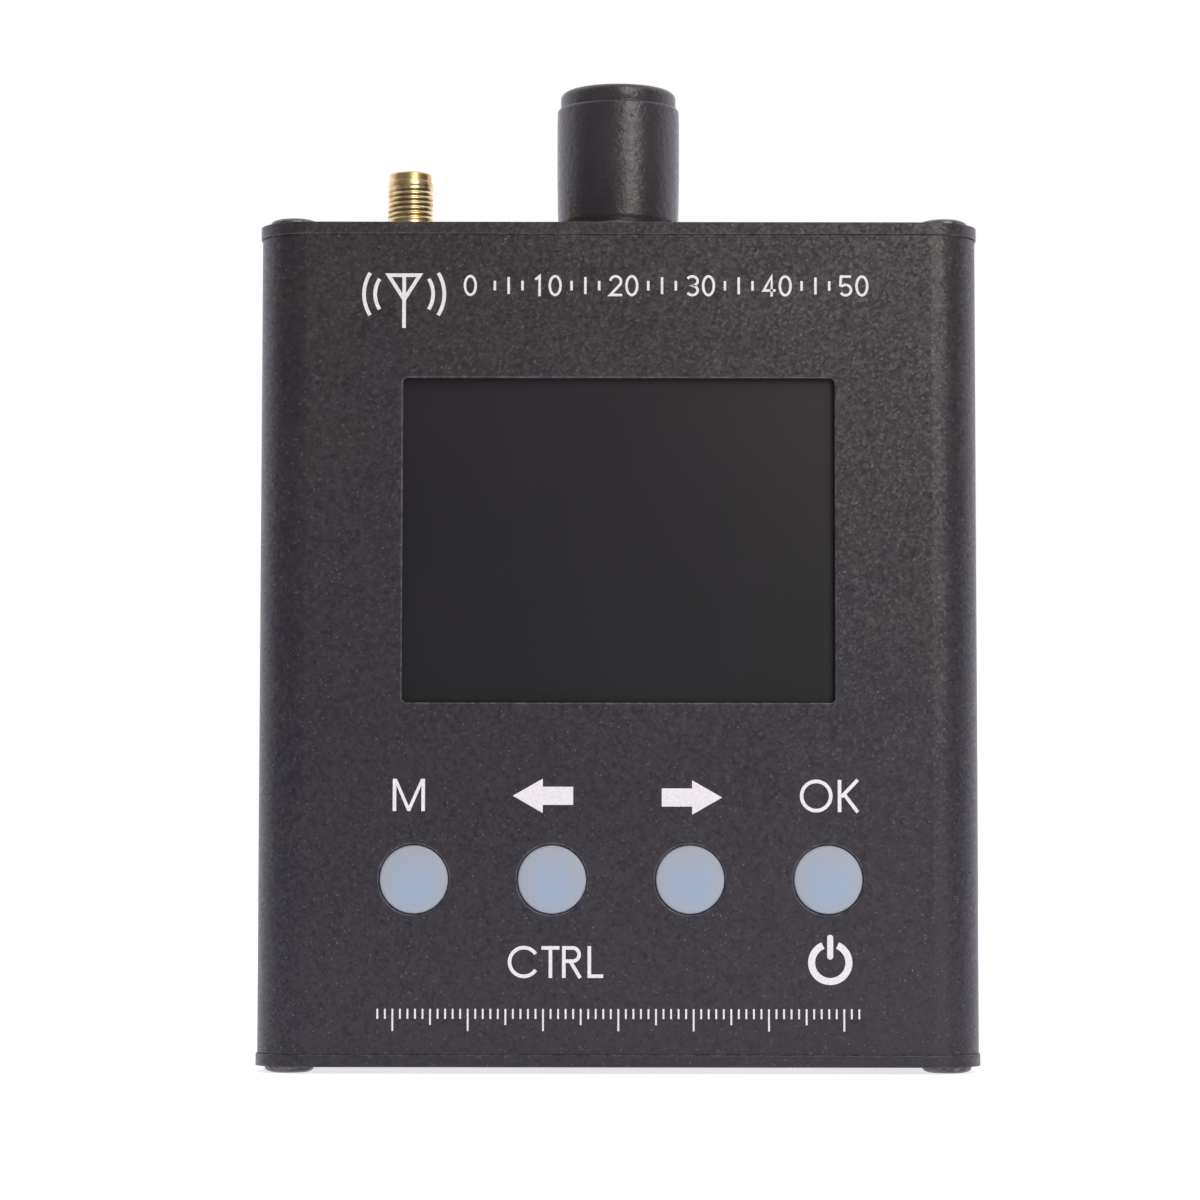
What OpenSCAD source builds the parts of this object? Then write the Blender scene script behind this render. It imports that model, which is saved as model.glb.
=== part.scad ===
// Hand-held antenna analyzer in a two-part extruded aluminium box.
// Millimetres. +Z up with the coaxial jacks on top, the front face looks along -Y, +X is to the right
// of someone facing it. The origin is under the middle of the box, at the lowest screw heads.

/* [Box] */
// Width of the extrusion
case_w = 97; // [95:0.5:104]
// Depth of the extrusion, front face to back face
case_d = 40; // [39:0.5:44]
// Length of the extrusion between its two end plates
case_l = 110; // [109:0.5:118]
// Wall of the extrusion
wall_t = 1.5; // [1.3:0.1:1.8]
// Outer radius of the four long edges
corner_r = 6.5; // [5.5:0.1:7]
// Height of the tongue that keys the two halves together
tongue_h = 1.6; // [1.2:0.1:2.4]
// Depth of the vee along the seam between the halves
seam_vee = 0.35; // [0.2:0.05:0.5]

/* [End plates] */
// Thickness of each end plate
plate_t = 1.6; // [1.2:0.1:2.2]
// How far each end plate stands out past the extrusion's outline
plate_proud = 0.2; // [0.1:0.05:0.3]
// Distance of each screw axis from the extrusion's faces
screw_inset = 4.5; // [4.3:0.1:4.8]
// Radius of the screw's shank
screw_r = 1.5; // [1.3:0.1:1.6]
// Length of the shank under the head
screw_l = 8; // [6:0.5:12]
// Radius of the screw's pan head
head_r = 3.3; // [3:0.1:3.8]
// Radius of the flat on top of the head
head_flat_r = 1.8; // [1.4:0.1:2.2]
// Height of the head
head_h = 0.9; // [0.9:0.1:1.5]
// Height of the head's straight rim, below its rounding
head_rim_h = 0.2; // [0.1:0.05:0.4]
// Length of each bar of the cross recess
recess_l = 3.4; // [2.8:0.1:3.8]
// Width of each bar of the cross recess
recess_w = 0.8; // [0.6:0.1:1]
// Depth of the cross recess
recess_depth = 0.8; // [0.6:0.1:0.9]

/* [Window and display] */
// Width of the window opening
window_w = 58; // [56:0.5:62]
// Height of the window opening
window_h = 43.7; // [42:0.1:46]
// Radius of the opening's corners
window_r = 0.7; // [0.3:0.1:2]
// Centre of the window above the extrusion's lower end
window_z = 68.65; // [67:0.05:70]
// How far the clear pane reaches past the opening on each side
pane_lap = 2; // [1.5:0.1:2.6]
// Thickness of the clear pane
pane_t = 1; // [0.8:0.1:1.5]
// Thickness of the foam frame behind the pane
gasket_t = 0.5; // [0.3:0.1:0.8]
// Thickness of the display's glass
lcd_t = 1.2; // [1:0.1:1.6]
// Glass past the visible area at the left and right
lcd_side = 5.6; // [5:0.1:6.5]
// Glass past the visible area at the top and bottom
lcd_edge = 3.15; // [2.9:0.05:4]
// Thickness of the backlight behind the glass
backlight_t = 1.6; // [1.2:0.1:2]
// Wall of the moulded carrier round the display
carrier_t = 1.5; // [1.2:0.1:2]
// Thickness of the carrier's shelf behind the backlight
shelf_t = 1.2; // [1:0.1:1.6]
// Width of that shelf
shelf_w = 3; // [2:0.1:4]
// Height of the carrier's skirt from the shelf to the board
skirt_h = 2.4; // [2.1:0.1:3]
// Width of the ribbon from the display to the board
flex_w = 20; // [16:0.5:24]
// Thickness of that ribbon
flex_t = 0.25; // [0.2:0.05:0.35]
// Radius of the ribbon's bend
flex_bend = 2.5; // [2:0.1:3]
// Straight stretch of the ribbon between the carrier and that bend
flex_run = 3.5; // [3:0.1:4]
// Thickness of the ribbon's connector
flex_conn_t = 2; // [1.5:0.1:2.4]
// Height of that connector
flex_conn_h = 5; // [4.5:0.1:6]

/* [Keys] */
// Distance from one key to the next
key_pitch = 18.4; // [17.5:0.1:19]
// Middle of the row of keys, to the right of the box's middle
key_row_x = 0.35; // [0:0.05:1]
// Height of the keys above the extrusion's lower end
key_z = 23.25; // [21:0.05:26]
// Radius of a key cap
cap_r = 4.56; // [4.2:0.02:5]
// Gap between a key cap and its hole
cap_gap = 0.15; // [0.1:0.05:0.5]
// How far a cap's face lies below the front face
cap_sunk = 0.1; // [0:0.05:0.3]
// Rounding of a cap's front edge
cap_edge = 0.35; // [0.2:0.05:0.6]
// Radius of the flange that keeps a cap in the box
cap_flange_r = 5.6; // [5.5:0.1:6]
// Thickness of that flange
cap_flange_t = 0.8; // [0.6:0.1:1.2]
// Travel of a key
key_travel = 0.3; // [0.2:0.05:0.3]
// Side of the square body of a key's switch
switch_w = 12; // [11.6:0.1:12.4]
// Height of that body
switch_h = 3.2; // [3:0.1:3.4]
// Thickness of its steel cover
cover_t = 0.3; // [0.2:0.05:0.4]
// Radius of the plunger where it passes the cover
plunger_r = 3.3; // [3:0.1:3.5]
// Height of the collar that keeps the plunger under the cover
collar_h = 0.95; // [0.7:0.05:1.2]
// How far that collar stands out past the plunger
collar_lip = 0.3; // [0.2:0.05:0.4]
// Side of the square post on the plunger
post_w = 3.8; // [3.4:0.1:4]
// Height of the post
post_h = 3.4; // [3:0.1:3.6]

/* [Circuit boards] */
// Thickness of both circuit boards
board_t = 1.6; // [1.2:0.1:1.7]
// Reach of the board rails from the side walls
rail_reach = 2.2; // [1.8:0.1:2.6]
// Thickness of a board rail
rail_t = 1.1; // [0.9:0.1:1.4]
// Gap between the main board and the bottom plate
board_low_gap = 1.5; // [1:0.1:2]
// Gap between the main board and the top plate, where the large jack's nut is
board_top_gap = 5.5; // [5:0.1:7]
// Distance of the spacers from the display glass's edges, sideways
spacer_in_x = 3.8; // [3.7:0.1:5]
// Distance of the spacers from the display glass's edges, upwards
spacer_in_z = 6.5; // [5:0.1:8]
// Across the flats of a hexagon spacer between the boards
spacer_af = 5; // [4.5:0.1:5.5]
// Radius of a board screw's shank
board_screw_r = 1.25; // [1:0.05:1.3]
// Radius of a board screw's head
board_head_r = 2.25; // [2:0.05:2.4]
// Height of a board screw's head
board_head_h = 1.4; // [1:0.1:1.7]
// Length of a board screw's shank
board_screw_l = 5; // [4:0.1:5.5]
// Margin of the radio board past its spacers
rf_margin = 5.2; // [4:0.1:6]
// Distance of the radio board's upper edge below the extrusion's end
rf_top_gap = 7; // [6.5:0.1:8]
// Height of the shield can over the radio circuits
can_h = 3.2; // [2.6:0.1:4]
// Sheet thickness of the shield can
can_t = 0.25; // [0.2:0.05:0.4]
// Radius of the vent holes in the can
can_hole_r = 1; // [0.6:0.1:1.2]
// Distance from one vent hole to the next
can_hole_step = 6; // [5:0.5:7]
// Step that the places and sizes of the chips are counted in
chip_step = 1; // [0.85:0.05:1.1]

/* [Battery] */
// Width of the flat lithium cell
cell_w = 60; // [50:1:64]
// Height of the cell
cell_h = 50; // [40:1:55]
// Thickness of the cell
cell_t = 8; // [6:0.5:9]
// Underside of the cell above the extrusion's lower end
cell_z = 18; // [17:0.5:22]
// Thickness of the tape that holds the cell to the rear wall
tape_t = 0.5; // [0.3:0.1:1]
// Distance of that tape from the cell's lower and upper edges
tape_in = 4; // [2:0.5:8]
// Width of the small circuit under the cell
circuit_w = 28; // [24:1:34]
// Height of that circuit
circuit_h = 4; // [3.5:0.1:4.5]
// Thickness of that circuit
circuit_t = 2; // [1.6:0.1:2.4]
// Radius of each of the cell's two wires
wire_r = 0.65; // [0.5:0.05:0.7]
// Distance between the two wires
wire_pitch = 2; // [1.8:0.1:2.5]
// Radius of the bend in the wires
wire_bend = 3; // [2.5:0.1:4]
// Position of the wires' plug, to the right of the box's middle
plug_x = -8.5; // [-12:0.5:-6]

/* [Charging socket and lamp] */
// Position of the charging socket, to the right of the box's middle
usb_x = 12; // [8:0.5:14]
// Width of the socket's steel jacket
usb_w = 7.7; // [7.4:0.1:8]
// Height of the jacket off the board
usb_t = 3.95; // [3.8:0.05:4.2]
// Length of the jacket
usb_l = 9.2; // [8:0.1:10]
// Sheet thickness of the jacket
usb_sheet = 0.35; // [0.25:0.05:0.4]
// Position of the charge lamp, to the right of the box's middle
led_x = 24; // [21:0.5:28]
// Radius of the lamp's lens
led_r = 1.45; // [1.3:0.05:1.5]
// Height of the lamp's axis off the board
led_off = 3.2; // [2.6:0.1:4]

/* [Small coaxial jack] */
// Distance of the small jack to the left of the box's middle
sma_left = 29.1; // [27:0.1:30]
// Outer radius of its thread
sma_thread_r = 3.175; // [3.1:0.005:3.25]
// Pitch of its thread
sma_pitch = 0.7056; // [0.6:0.0001:0.8]
// Depth of its thread
sma_thread_depth = 0.38; // [0.25:0.01:0.45]
// Radius of its neck, under the nut
sma_neck_r = 2.98; // [2.9:0.01:3]
// Height of its mouth above the top plate
sma_top = 10.1; // [9.6:0.1:11]
// Height of the plain rim above the thread
sma_rim_h = 1.5; // [1.2:0.1:1.8]
// Radius of the plain rim
sma_rim_r = 2.85; // [2.8:0.01:2.9]
// Radius of its mouth
sma_mouth_r = 2.3; // [2.2:0.01:2.4]
// Depth of its mouth, down to the white insulator
sma_mouth_depth = 1.95; // [1.7:0.05:2.2]
// Radius of the white insulator
sma_insulator_r = 2.05; // [1.9:0.01:2.15]
// Across the flats of its nut and inner hexagon
sma_af = 8; // [7.6:0.1:8.4]
// Height of its nut
sma_nut_h = 2.2; // [2:0.1:2.4]
// Thickness of its washer
sma_washer_t = 0.5; // [0.3:0.1:0.6]
// Height of its inner hexagon, under the top plate
sma_hex_h = 1.8; // [1.5:0.1:2.2]
// Radius of its body behind that hexagon
sma_rear_r = 2.5; // [2.3:0.05:2.8]
// Reach of its body into the box
sma_rear_l = 5; // [4:0.1:5.5]

/* [Large coaxial jack] */
// Outer radius of the large jack's thread
n_thread_r = 7.9375; // [7.9:0.0005:7.97]
// Pitch of its thread
n_pitch = 1.0583; // [0.9:0.0001:1.2]
// Depth of its thread
n_thread_depth = 0.6; // [0.4:0.01:0.7]
// Radius of its plain neck
n_neck_r = 7.2; // [7:0.05:7.3]
// Height of its mouth above the top plate
n_top = 17.6; // [17:0.1:19]
// Across the flats of its hexagon on the top plate
n_flange_af = 17.5; // [17:0.1:18]
// Height of that hexagon
n_flange_h = 2; // [1.8:0.1:2.3]
// Length of the plain neck above the hexagon
n_neck_l = 3; // [2:0.1:4]
// Radius of its mouth
n_mouth_r = 4.265; // [4.2:0.005:4.4]
// Depth of its mouth, down to the white insulator
n_mouth_depth = 9.1; // [8.8:0.1:9.5]
// Radius of the white insulator
n_insulator_r = 3.5; // [3.3:0.05:3.7]
// Radius of its centre contact
n_contact_r = 1.52; // [1.4:0.01:1.6]
// Height of the centre contact above the insulator
n_contact_h = 4.8; // [4.5:0.1:5]
// Radius of its shank through the top plate
n_shank_r = 7.7; // [7.5:0.05:7.8]
// Across the flats of the nut inside the box
n_nut_af = 19; // [18.5:0.1:19.5]
// Height of that nut
n_nut_h = 2.5; // [2:0.1:3]
// Radius of the lock washer under that nut
n_washer_r = 9.6; // [9:0.1:10]
// Thickness of that washer
n_washer_t = 0.8; // [0.6:0.1:1]
// Reach of its shank past that nut
n_rear_l = 1.2; // [1:0.1:1.6]
// Radius of its tail behind the shank
n_tail_r = 5; // [4.5:0.1:6]
// Length of that tail
n_tail_l = 2; // [1.6:0.1:2.4]
// Radius of the solder pins at the back of both jacks
pin_r = 0.65; // [0.5:0.05:0.7]
// Length of the solder pins that lies on the radio board
pin_lap = 3.4; // [2.5:0.1:5]

/* [Dust cap] */
// Radius of the dust cap at its rim
dust_base_r = 8.4; // [8.35:0.05:8.6]
// Radius where the dust cap is widest
dust_r = 8.53; // [8.5:0.01:8.8]
// Radius of its top, above the step
dust_top_r = 8.05; // [7.95:0.01:8.15]
// Height of the dust cap
dust_h = 18.9; // [18.6:0.05:20]
// Gap between its rim and the large jack's hexagon
dust_lift = 0.8; // [0.3:0.1:1.2]
// Height of the step ring below its top
dust_step = 2.5; // [2:0.1:3]
// Rounding of its top edge
dust_round = 1; // [0.8:0.1:1.4]
// Radial gap between its bore and the large jack's thread
dust_gap = 0.05; // [0.03:0.01:0.08]
// Clear height above the large jack's mouth inside it
dust_air = 0.7; // [0.4:0.1:1]

/* [Hidden] */
$fn = 64;
// overlap that makes cuts and joins clean
eps = 0.01;
// running clearance between pieces that slide or screw into each other
fit = 0.05;
// clearance round pieces that are only laid in place
lay = 0.1;
// clearance of screws and jacks in their plates
plate_gap = 0.2;

// heights
base_z = head_h + plate_t;
top_z = base_z + case_l;
deck_z = top_z + plate_t;

// depths, from the front face backwards
front_y = -case_d / 2;
inner_front_y = front_y + wall_t;
lcd_y = inner_front_y + pane_t + gasket_t;
backlight_y = lcd_y + lcd_t;
shelf_y = backlight_y + backlight_t;
board_y = shelf_y + shelf_t + skirt_h;
board_back_y = board_y + board_t;
rf_y = pin_r;
rf_back_y = rf_y + board_t;
inner_back_y = case_d / 2 - wall_t;

inner_x = case_w / 2 - wall_t;
screw_x = case_w / 2 - screw_inset;
screw_y = case_d / 2 - screw_inset;
boss_r = screw_inset - wall_t + 0.2;
sma_x = -sma_left;

// display stack
lcd_w = window_w + 2 * lcd_side;
lcd_h = window_h + 2 * lcd_edge;
pane_w = window_w + 2 * pane_lap;
pane_h = window_h + 2 * pane_lap;
lcd_low_z = base_z + window_z - lcd_h / 2;

// boards
board_w = 2 * (inner_x - 0.8);
board_h = case_l - board_low_gap - board_top_gap;
spacer_x = lcd_w / 2 - spacer_in_x;
spacer_low_z = lcd_low_z + spacer_in_z;
spacer_high_z = lcd_low_z + lcd_h - spacer_in_z;
spacer_l = rf_y - board_back_y;
rf_w = 2 * (spacer_x + rf_margin);
rf_low_z = spacer_low_z - rf_margin;
rf_top_z = top_z - rf_top_gap;
can_w = 2 * (spacer_x - board_head_r - 3.5);
can_len = spacer_high_z - spacer_low_z + 2;
can_mid_z = (spacer_low_z + spacer_high_z) / 2;

// keys
key_hole_r = cap_r + cap_gap;
shoulder_h = switch_h + cover_t + key_travel + lay;
cap_top = board_y - front_y - cap_sunk;
switch_floor = 0.8;
dome_t = 0.12;

// wires
wire_y = inner_back_y - tape_t - cell_t / 2;
wire_top_z = base_z + cell_z - circuit_h;
wire_drop = 2;
plug_z = wire_top_z - wire_bend - wire_drop;
socket_l = 6;
socket_wall = 0.9;
plug_w = 6.2;
plug_h = 4.2;
plug_l = 7;
plug_y = board_back_y + 1 + lay;

// underside of the large jack's nut, below the top plate's outer face
n_inside_z = -plate_t - n_washer_t - n_nut_h;

// charging socket and lamp
usb_y = board_back_y + usb_t / 2;
usb_mouth_z = head_h + 0.2;
led_y = board_back_y + led_off;
led_z = head_h - 0.3 + led_r;
lens_l = 4;

// ---- shapes that repeat ----

// rectangle with round corners, centred
module round_rect(w, h, r) {
    square([w - 2 * r, h], center = true);
    square([w, h - 2 * r], center = true);
    for (sx = [-1, 1], sy = [-1, 1])
        translate([sx * (w / 2 - r), sy * (h / 2 - r)]) circle(r);
}

// frame: a round-cornered rectangle with another one cut out of it
module frame_rect(w, h, r, border) {
    difference() {
        round_rect(w, h, r);
        round_rect(w - 2 * border, h - 2 * border, max(r - border, 0.2));
    }
}

// upright slab: the flat shape is drawn as (x, z) and runs from y to y + t
module upright(y, t) {
    translate([0, y + t, 0]) rotate([90, 0, 0]) linear_extrude(t) children();
}

// local +Z points out of the box's front
module facing_front(x, y, z) {
    translate([x, y, z]) rotate([90, 0, 0]) children();
}

// local +Z points out of the box's back
module facing_back(x, y, z) {
    translate([x, y, z]) rotate([-90, 0, 0]) children();
}

module ring(r_out, r_in, h) {
    difference() {
        cylinder(r = r_out, h = h);
        translate([0, 0, -eps]) cylinder(r = r_in, h = h + 2 * eps);
    }
}

module hexagon(af, h) {
    cylinder(r = af / sqrt(3), h = h, $fn = 6);
}

// thread profile up one side: each turn is a flat crest and a vee groove, and a crest ends it
function thread_points(r, depth, pitch, z0, turns) = concat([
    for (i = [0 : turns - 1], k = [0 : 2])
        [k == 2 ? r - depth : r, z0 + pitch * (i + [0, 0.25, 0.625][k])]
], [[r, z0 + pitch * turns]]);

function key_x(i) = key_row_x + (i - 1.5) * key_pitch;

module at_end_screws() {
    for (sx = [-1, 1], sy = [-1, 1])
        translate([sx * screw_x, sy * screw_y, 0]) children();
}

module at_spacers() {
    for (sx = [-1, 1], z = [spacer_low_z, spacer_high_z])
        translate([sx * spacer_x, 0, z]) children();
}

// ---- box ----

module case_outline(grow) {
    round_rect(case_w + 2 * grow, case_d + 2 * grow, corner_r + grow);
}

// half of the extrusion's wall: side is -1 for the front half and 1 for the rear half
module half_wall(side) {
    intersection() {
        difference() {
            case_outline(0);
            case_outline(-wall_t);
        }
        translate([-case_w, side < 0 ? -case_d : 0]) square([2 * case_w, case_d]);
    }
}

module screw_channel(side) {
    for (sx = [-1, 1])
        translate([sx * screw_x, side * screw_y]) circle(boss_r);
}

// bore of the channel, open towards the inside of the box as extrusions need
module screw_channel_bore(side) {
    for (sx = [-1, 1])
        translate([sx * screw_x, side * screw_y]) {
            circle(screw_r + fit);
            rotate(atan2(-side, -sx)) translate([0, -screw_r / 2]) square([boss_r + 1, screw_r]);
        }
}

module board_rails(side) {
    slot = board_t + 2 * lay;
    near = abs(board_y) - board_t - lay;
    for (sx = [-1, 1], y = [near - rail_t, near + slot])
        translate([sx * (inner_x - rail_reach / 2), side * (y + rail_t / 2)])
            square([rail_reach + 2 * eps, rail_t], center = true);
}

module seam_cut() {
    for (sx = [-1, 1])
        translate([sx * case_w / 2, 0]) rotate(45) square(seam_vee * sqrt(2), center = true);
}

// tongues of the front half, or with no slack the room that the rear half leaves for them
module tongues(slack, over) {
    w = wall_t / 2 - slack + over;
    h = tongue_h - slack + 1;
    for (sx = [-1, 1])
        translate([sx * (inner_x - over + w / 2), h / 2 - 1]) square([w, h], center = true);
}

module shell_profile(side) {
    difference() {
        union() {
            half_wall(side);
            screw_channel(side);
            board_rails(side);
        }
        screw_channel_bore(side);
        seam_cut();
    }
}

module key_hole(i) {
    facing_front(key_x(i), inner_front_y + eps, base_z + key_z)
        cylinder(r = key_hole_r, h = wall_t + 1);
}

module front_shell() {
    color("#2b292c") difference() {
        translate([0, 0, base_z]) linear_extrude(case_l) {
            shell_profile(-1);
            tongues(lay, 0);
        }
        upright(front_y - 1, wall_t + 1 + eps)
            translate([0, base_z + window_z]) round_rect(window_w, window_h, window_r);
        for (i = [0 : 3]) key_hole(i);
    }
}

module rear_shell() {
    color("#2b292c") translate([0, 0, base_z]) linear_extrude(case_l) difference() {
        shell_profile(1);
        tongues(0, eps);
    }
}

module plate_blank() {
    difference() {
        linear_extrude(plate_t) case_outline(plate_proud);
        translate([0, 0, -1]) at_end_screws() cylinder(r = screw_r + plate_gap, h = plate_t + 2);
    }
}

module top_end_plate() {
    color("#2a282b") translate([0, 0, top_z]) difference() {
        plate_blank();
        translate([0, 0, -1]) cylinder(r = n_shank_r + plate_gap, h = plate_t + 2);
        translate([sma_x, 0, -1]) cylinder(r = sma_thread_r + plate_gap, h = plate_t + 2);
    }
}

module bottom_end_plate() {
    color("#2a282b") translate([0, 0, head_h]) difference() {
        plate_blank();
        translate([usb_x, usb_y, -1]) linear_extrude(plate_t + 2)
            round_rect(usb_w + 2 * plate_gap, usb_t + 2 * plate_gap, 0.8);
        translate([led_x, led_y, -1]) cylinder(r = led_r + plate_gap, h = plate_t + 2);
    }
}

// pan-head screw: the head stands on z = 0 and the shank points down
module end_screw() {
    rounding = [for (a = [0 : 15 : 90])
        [head_flat_r + (head_r - head_flat_r) * cos(a), head_rim_h + (head_h - head_rim_h) * sin(a)]];
    difference() {
        union() {
            translate([0, 0, -screw_l]) cylinder(r = screw_r, h = screw_l + eps);
            rotate_extrude() polygon(concat([[0, 0], [head_r, 0]], rounding, [[0, head_h]]));
        }
        for (turn = [0, 90])
            rotate(turn) translate([-recess_l / 2, -recess_w / 2, head_h - recess_depth])
                cube([recess_l, recess_w, recess_depth + 1]);
    }
}

module top_plate_screws() {
    color("#1d1c1e") translate([0, 0, deck_z]) at_end_screws() rotate(20) end_screw();
}

module bottom_plate_screws() {
    color("#1d1c1e") translate([0, 0, head_h]) mirror([0, 0, 1]) at_end_screws()
        rotate(35) end_screw();
}

// ---- window and display ----

module at_window() {
    translate([0, base_z + window_z]) children();
}

module window_pane() {
    color("#1c1d20", 0.6) upright(inner_front_y, pane_t) at_window()
        round_rect(pane_w, pane_h, 1.5);
}

module window_gasket() {
    color("#151515") upright(inner_front_y + pane_t, gasket_t) at_window()
        frame_rect(pane_w, pane_h, 1.5, pane_lap - 0.5);
}

module lcd_panel() {
    color("#1f2024") upright(lcd_y, lcd_t) at_window() square([lcd_w, lcd_h], center = true);
}

module lcd_backlight() {
    color("#e6e6e4") upright(backlight_y, backlight_t) at_window()
        round_rect(lcd_w, lcd_h, 0.6);
}

module lcd_carrier() {
    out_w = lcd_w + 2 * (carrier_t + lay);
    out_h = lcd_h + 2 * (carrier_t + lay);
    slot_z = lcd_low_z - carrier_t - lay - eps;
    color("#26282b") difference() {
        union() {
            upright(inner_front_y, board_y - inner_front_y) at_window()
                frame_rect(out_w, out_h, 1.5, carrier_t);
            upright(shelf_y, shelf_t) at_window()
                frame_rect(out_w - carrier_t, out_h - carrier_t, 0.8, carrier_t / 2 + shelf_w);
        }
        translate([-flex_w / 2 - 0.5, backlight_y - 0.7, slot_z - 1])
            cube([flex_w + 1, 1.4, carrier_t + 1 + 3 * eps + lay]);
    }
}

// ribbon: down from the display's lower edge, then round a bend and back to its connector
module lcd_flex() {
    run = carrier_t + lay + flex_run;
    bend_z = lcd_low_z - run;
    y0 = backlight_y - flex_t / 2;
    color("#b5762a") translate([-flex_w / 2, 0, 0]) rotate([90, 0, 90]) linear_extrude(flex_w) {
        translate([y0, bend_z - eps]) square([flex_t, run + eps]);
        intersection() {
            translate([y0 + flex_bend, bend_z]) difference() {
                circle(flex_bend);
                circle(flex_bend - flex_t);
            }
            translate([y0, bend_z - flex_bend]) square(flex_bend);
        }
        translate([y0 + flex_bend - eps, bend_z - flex_bend])
            square([board_y - flex_conn_t - y0 - flex_bend + eps, flex_t]);
    }
}

module flex_connector() {
    mid_z = lcd_low_z - carrier_t - lay - flex_run - flex_bend + flex_t / 2;
    wide = flex_w + 2 * flex_conn_t;
    color("#e9e4d6") translate([-wide / 2, board_y - flex_conn_t, mid_z - flex_conn_h / 2])
        cube([wide, flex_conn_t, flex_conn_h]);
}

// ---- keys ----

module key_cap(i) {
    color("#a3b1c8") facing_front(key_x(i), board_y, base_z + key_z) difference() {
        union() {
            translate([0, 0, shoulder_h]) cylinder(r = cap_flange_r, h = cap_flange_t);
            rotate_extrude() {
                translate([0, shoulder_h]) square([cap_r, cap_top - shoulder_h - cap_edge]);
                translate([0, shoulder_h]) square([cap_r - cap_edge, cap_top - shoulder_h]);
                translate([cap_r - cap_edge, cap_top - cap_edge]) circle(cap_edge);
            }
        }
        translate([0, 0, shoulder_h + post_h / 2])
            cube([post_w + 2 * fit, post_w + 2 * fit, post_h + 2 * lay], center = true);
    }
}

// switch plunger: a collar under the cover, a round shaft and a square post for the cap
module key_stem(i) {
    color("#1b1b1d") facing_front(key_x(i), board_y, base_z + key_z) {
        translate([0, 0, switch_h - fit - collar_h])
            cylinder(r = plunger_r + collar_lip, h = collar_h);
        translate([0, 0, switch_h - fit - eps])
            cylinder(r = plunger_r, h = shoulder_h - switch_h + fit + eps);
        translate([-post_w / 2, -post_w / 2, shoulder_h - eps])
            cube([post_w, post_w, post_h + eps]);
    }
}

module menu_button() { key_cap(0); }
module left_button() { key_cap(1); }
module right_button() { key_cap(2); }
module ok_button() { key_cap(3); }
module menu_stem() { key_stem(0); }
module left_stem() { key_stem(1); }
module right_stem() { key_stem(2); }
module ok_stem() { key_stem(3); }

module at_keys() {
    for (i = [0 : 3]) facing_front(key_x(i), board_y, base_z + key_z) children();
}

module switch_bases() {
    color("#161617") at_keys() difference() {
        translate([-switch_w / 2, -switch_w / 2, 0]) cube([switch_w, switch_w, switch_h]);
        translate([0, 0, switch_floor]) cylinder(r = plunger_r + collar_lip + lay, h = switch_h);
    }
}

module switch_covers() {
    color("#b9bbbd") at_keys() translate([0, 0, switch_h]) difference() {
        translate([-switch_w / 2, -switch_w / 2, 0]) cube([switch_w, switch_w, cover_t]);
        translate([0, 0, -1]) cylinder(r = plunger_r + lay, h = cover_t + 2);
    }
}

// snap domes, drawn as they are when pressed flat
module switch_domes() {
    dome_r = plunger_r;
    crown = switch_h - fit - collar_h - key_travel - fit;
    color("#c9cacc") at_keys() rotate_extrude() polygon([
        [0, crown - dome_t], [1.2, crown - dome_t - 0.05], [dome_r, switch_floor],
        [dome_r, switch_floor + dome_t], [1.2, crown - 0.05], [0, crown]
    ]);
}

// ---- circuit boards ----

module main_board() {
    color("#1f5a35") difference() {
        upright(board_y, board_t) translate([0, base_z + board_low_gap + board_h / 2])
            round_rect(board_w, board_h, 2);
        at_spacers() facing_back(0, board_y - 1, 0)
            cylinder(r = board_screw_r + lay, h = board_t + 2);
    }
}

// chips that stand on the plane y, from a list counted in chip_step: [x, z, width, height, thickness]
module chips(list, y, z) {
    color("#1a1a1c") for (item = list) {
        c = item * chip_step;
        translate([c[0] - c[2] / 2, y, z + c[1] - c[3] / 2]) cube([c[2], c[4], c[3]]);
    }
}

// chips on the back of the main board, counted up from the extrusion's lower end
module main_board_chips() {
    chips([[0, 66, 12, 12, 1.4], [20, 62, 8, 6, 1.6], [-18, 70, 5, 6, 1.5], [18, 80, 5, 3.2, 1.2],
           [-17, 30, 6, 5, 1.6], [10, 30, 7, 7, 3], [-30, 20, 4, 6, 2]], board_back_y, base_z);
}

module rf_board() {
    color("#1f5a35") difference() {
        upright(rf_y, board_t) translate([0, (rf_low_z + rf_top_z) / 2])
            round_rect(rf_w, rf_top_z - rf_low_z, 1.5);
        at_spacers() facing_back(0, rf_y - 1, 0)
            cylinder(r = board_screw_r + lay, h = board_t + 2);
    }
}

// radio chips under the can, counted from its middle
module rf_board_chips() {
    chips([[-12, 8, 5, 5, 1], [2, 9, 4, 4, 1], [13, 6, 5, 5, 1], [-8, -7, 3, 3, 0.9],
           [8, -8, 7, 5, 1.4]], rf_back_y, can_mid_z);
}

module rf_shield_can() {
    color("#b8b9bb") difference() {
        translate([-can_w / 2, rf_back_y, can_mid_z - can_len / 2]) cube([can_w, can_h, can_len]);
        translate([-can_w / 2 + can_t, rf_back_y - 1, can_mid_z - can_len / 2 + can_t])
            cube([can_w - 2 * can_t, can_h - can_t + 1, can_len - 2 * can_t]);
        for (ix = [-3 : 3], iz = [-2 : 2])
            facing_back(ix * can_hole_step, rf_back_y + can_h / 2, can_mid_z + iz * can_hole_step)
                cylinder(r = can_hole_r, h = can_h);
    }
}

module board_standoffs() {
    color("#c9a45a") at_spacers() facing_back(0, board_back_y, 0) difference() {
        hexagon(spacer_af, spacer_l);
        translate([0, 0, -1]) cylinder(r = board_screw_r + fit, h = spacer_l + 2);
    }
}

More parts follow.
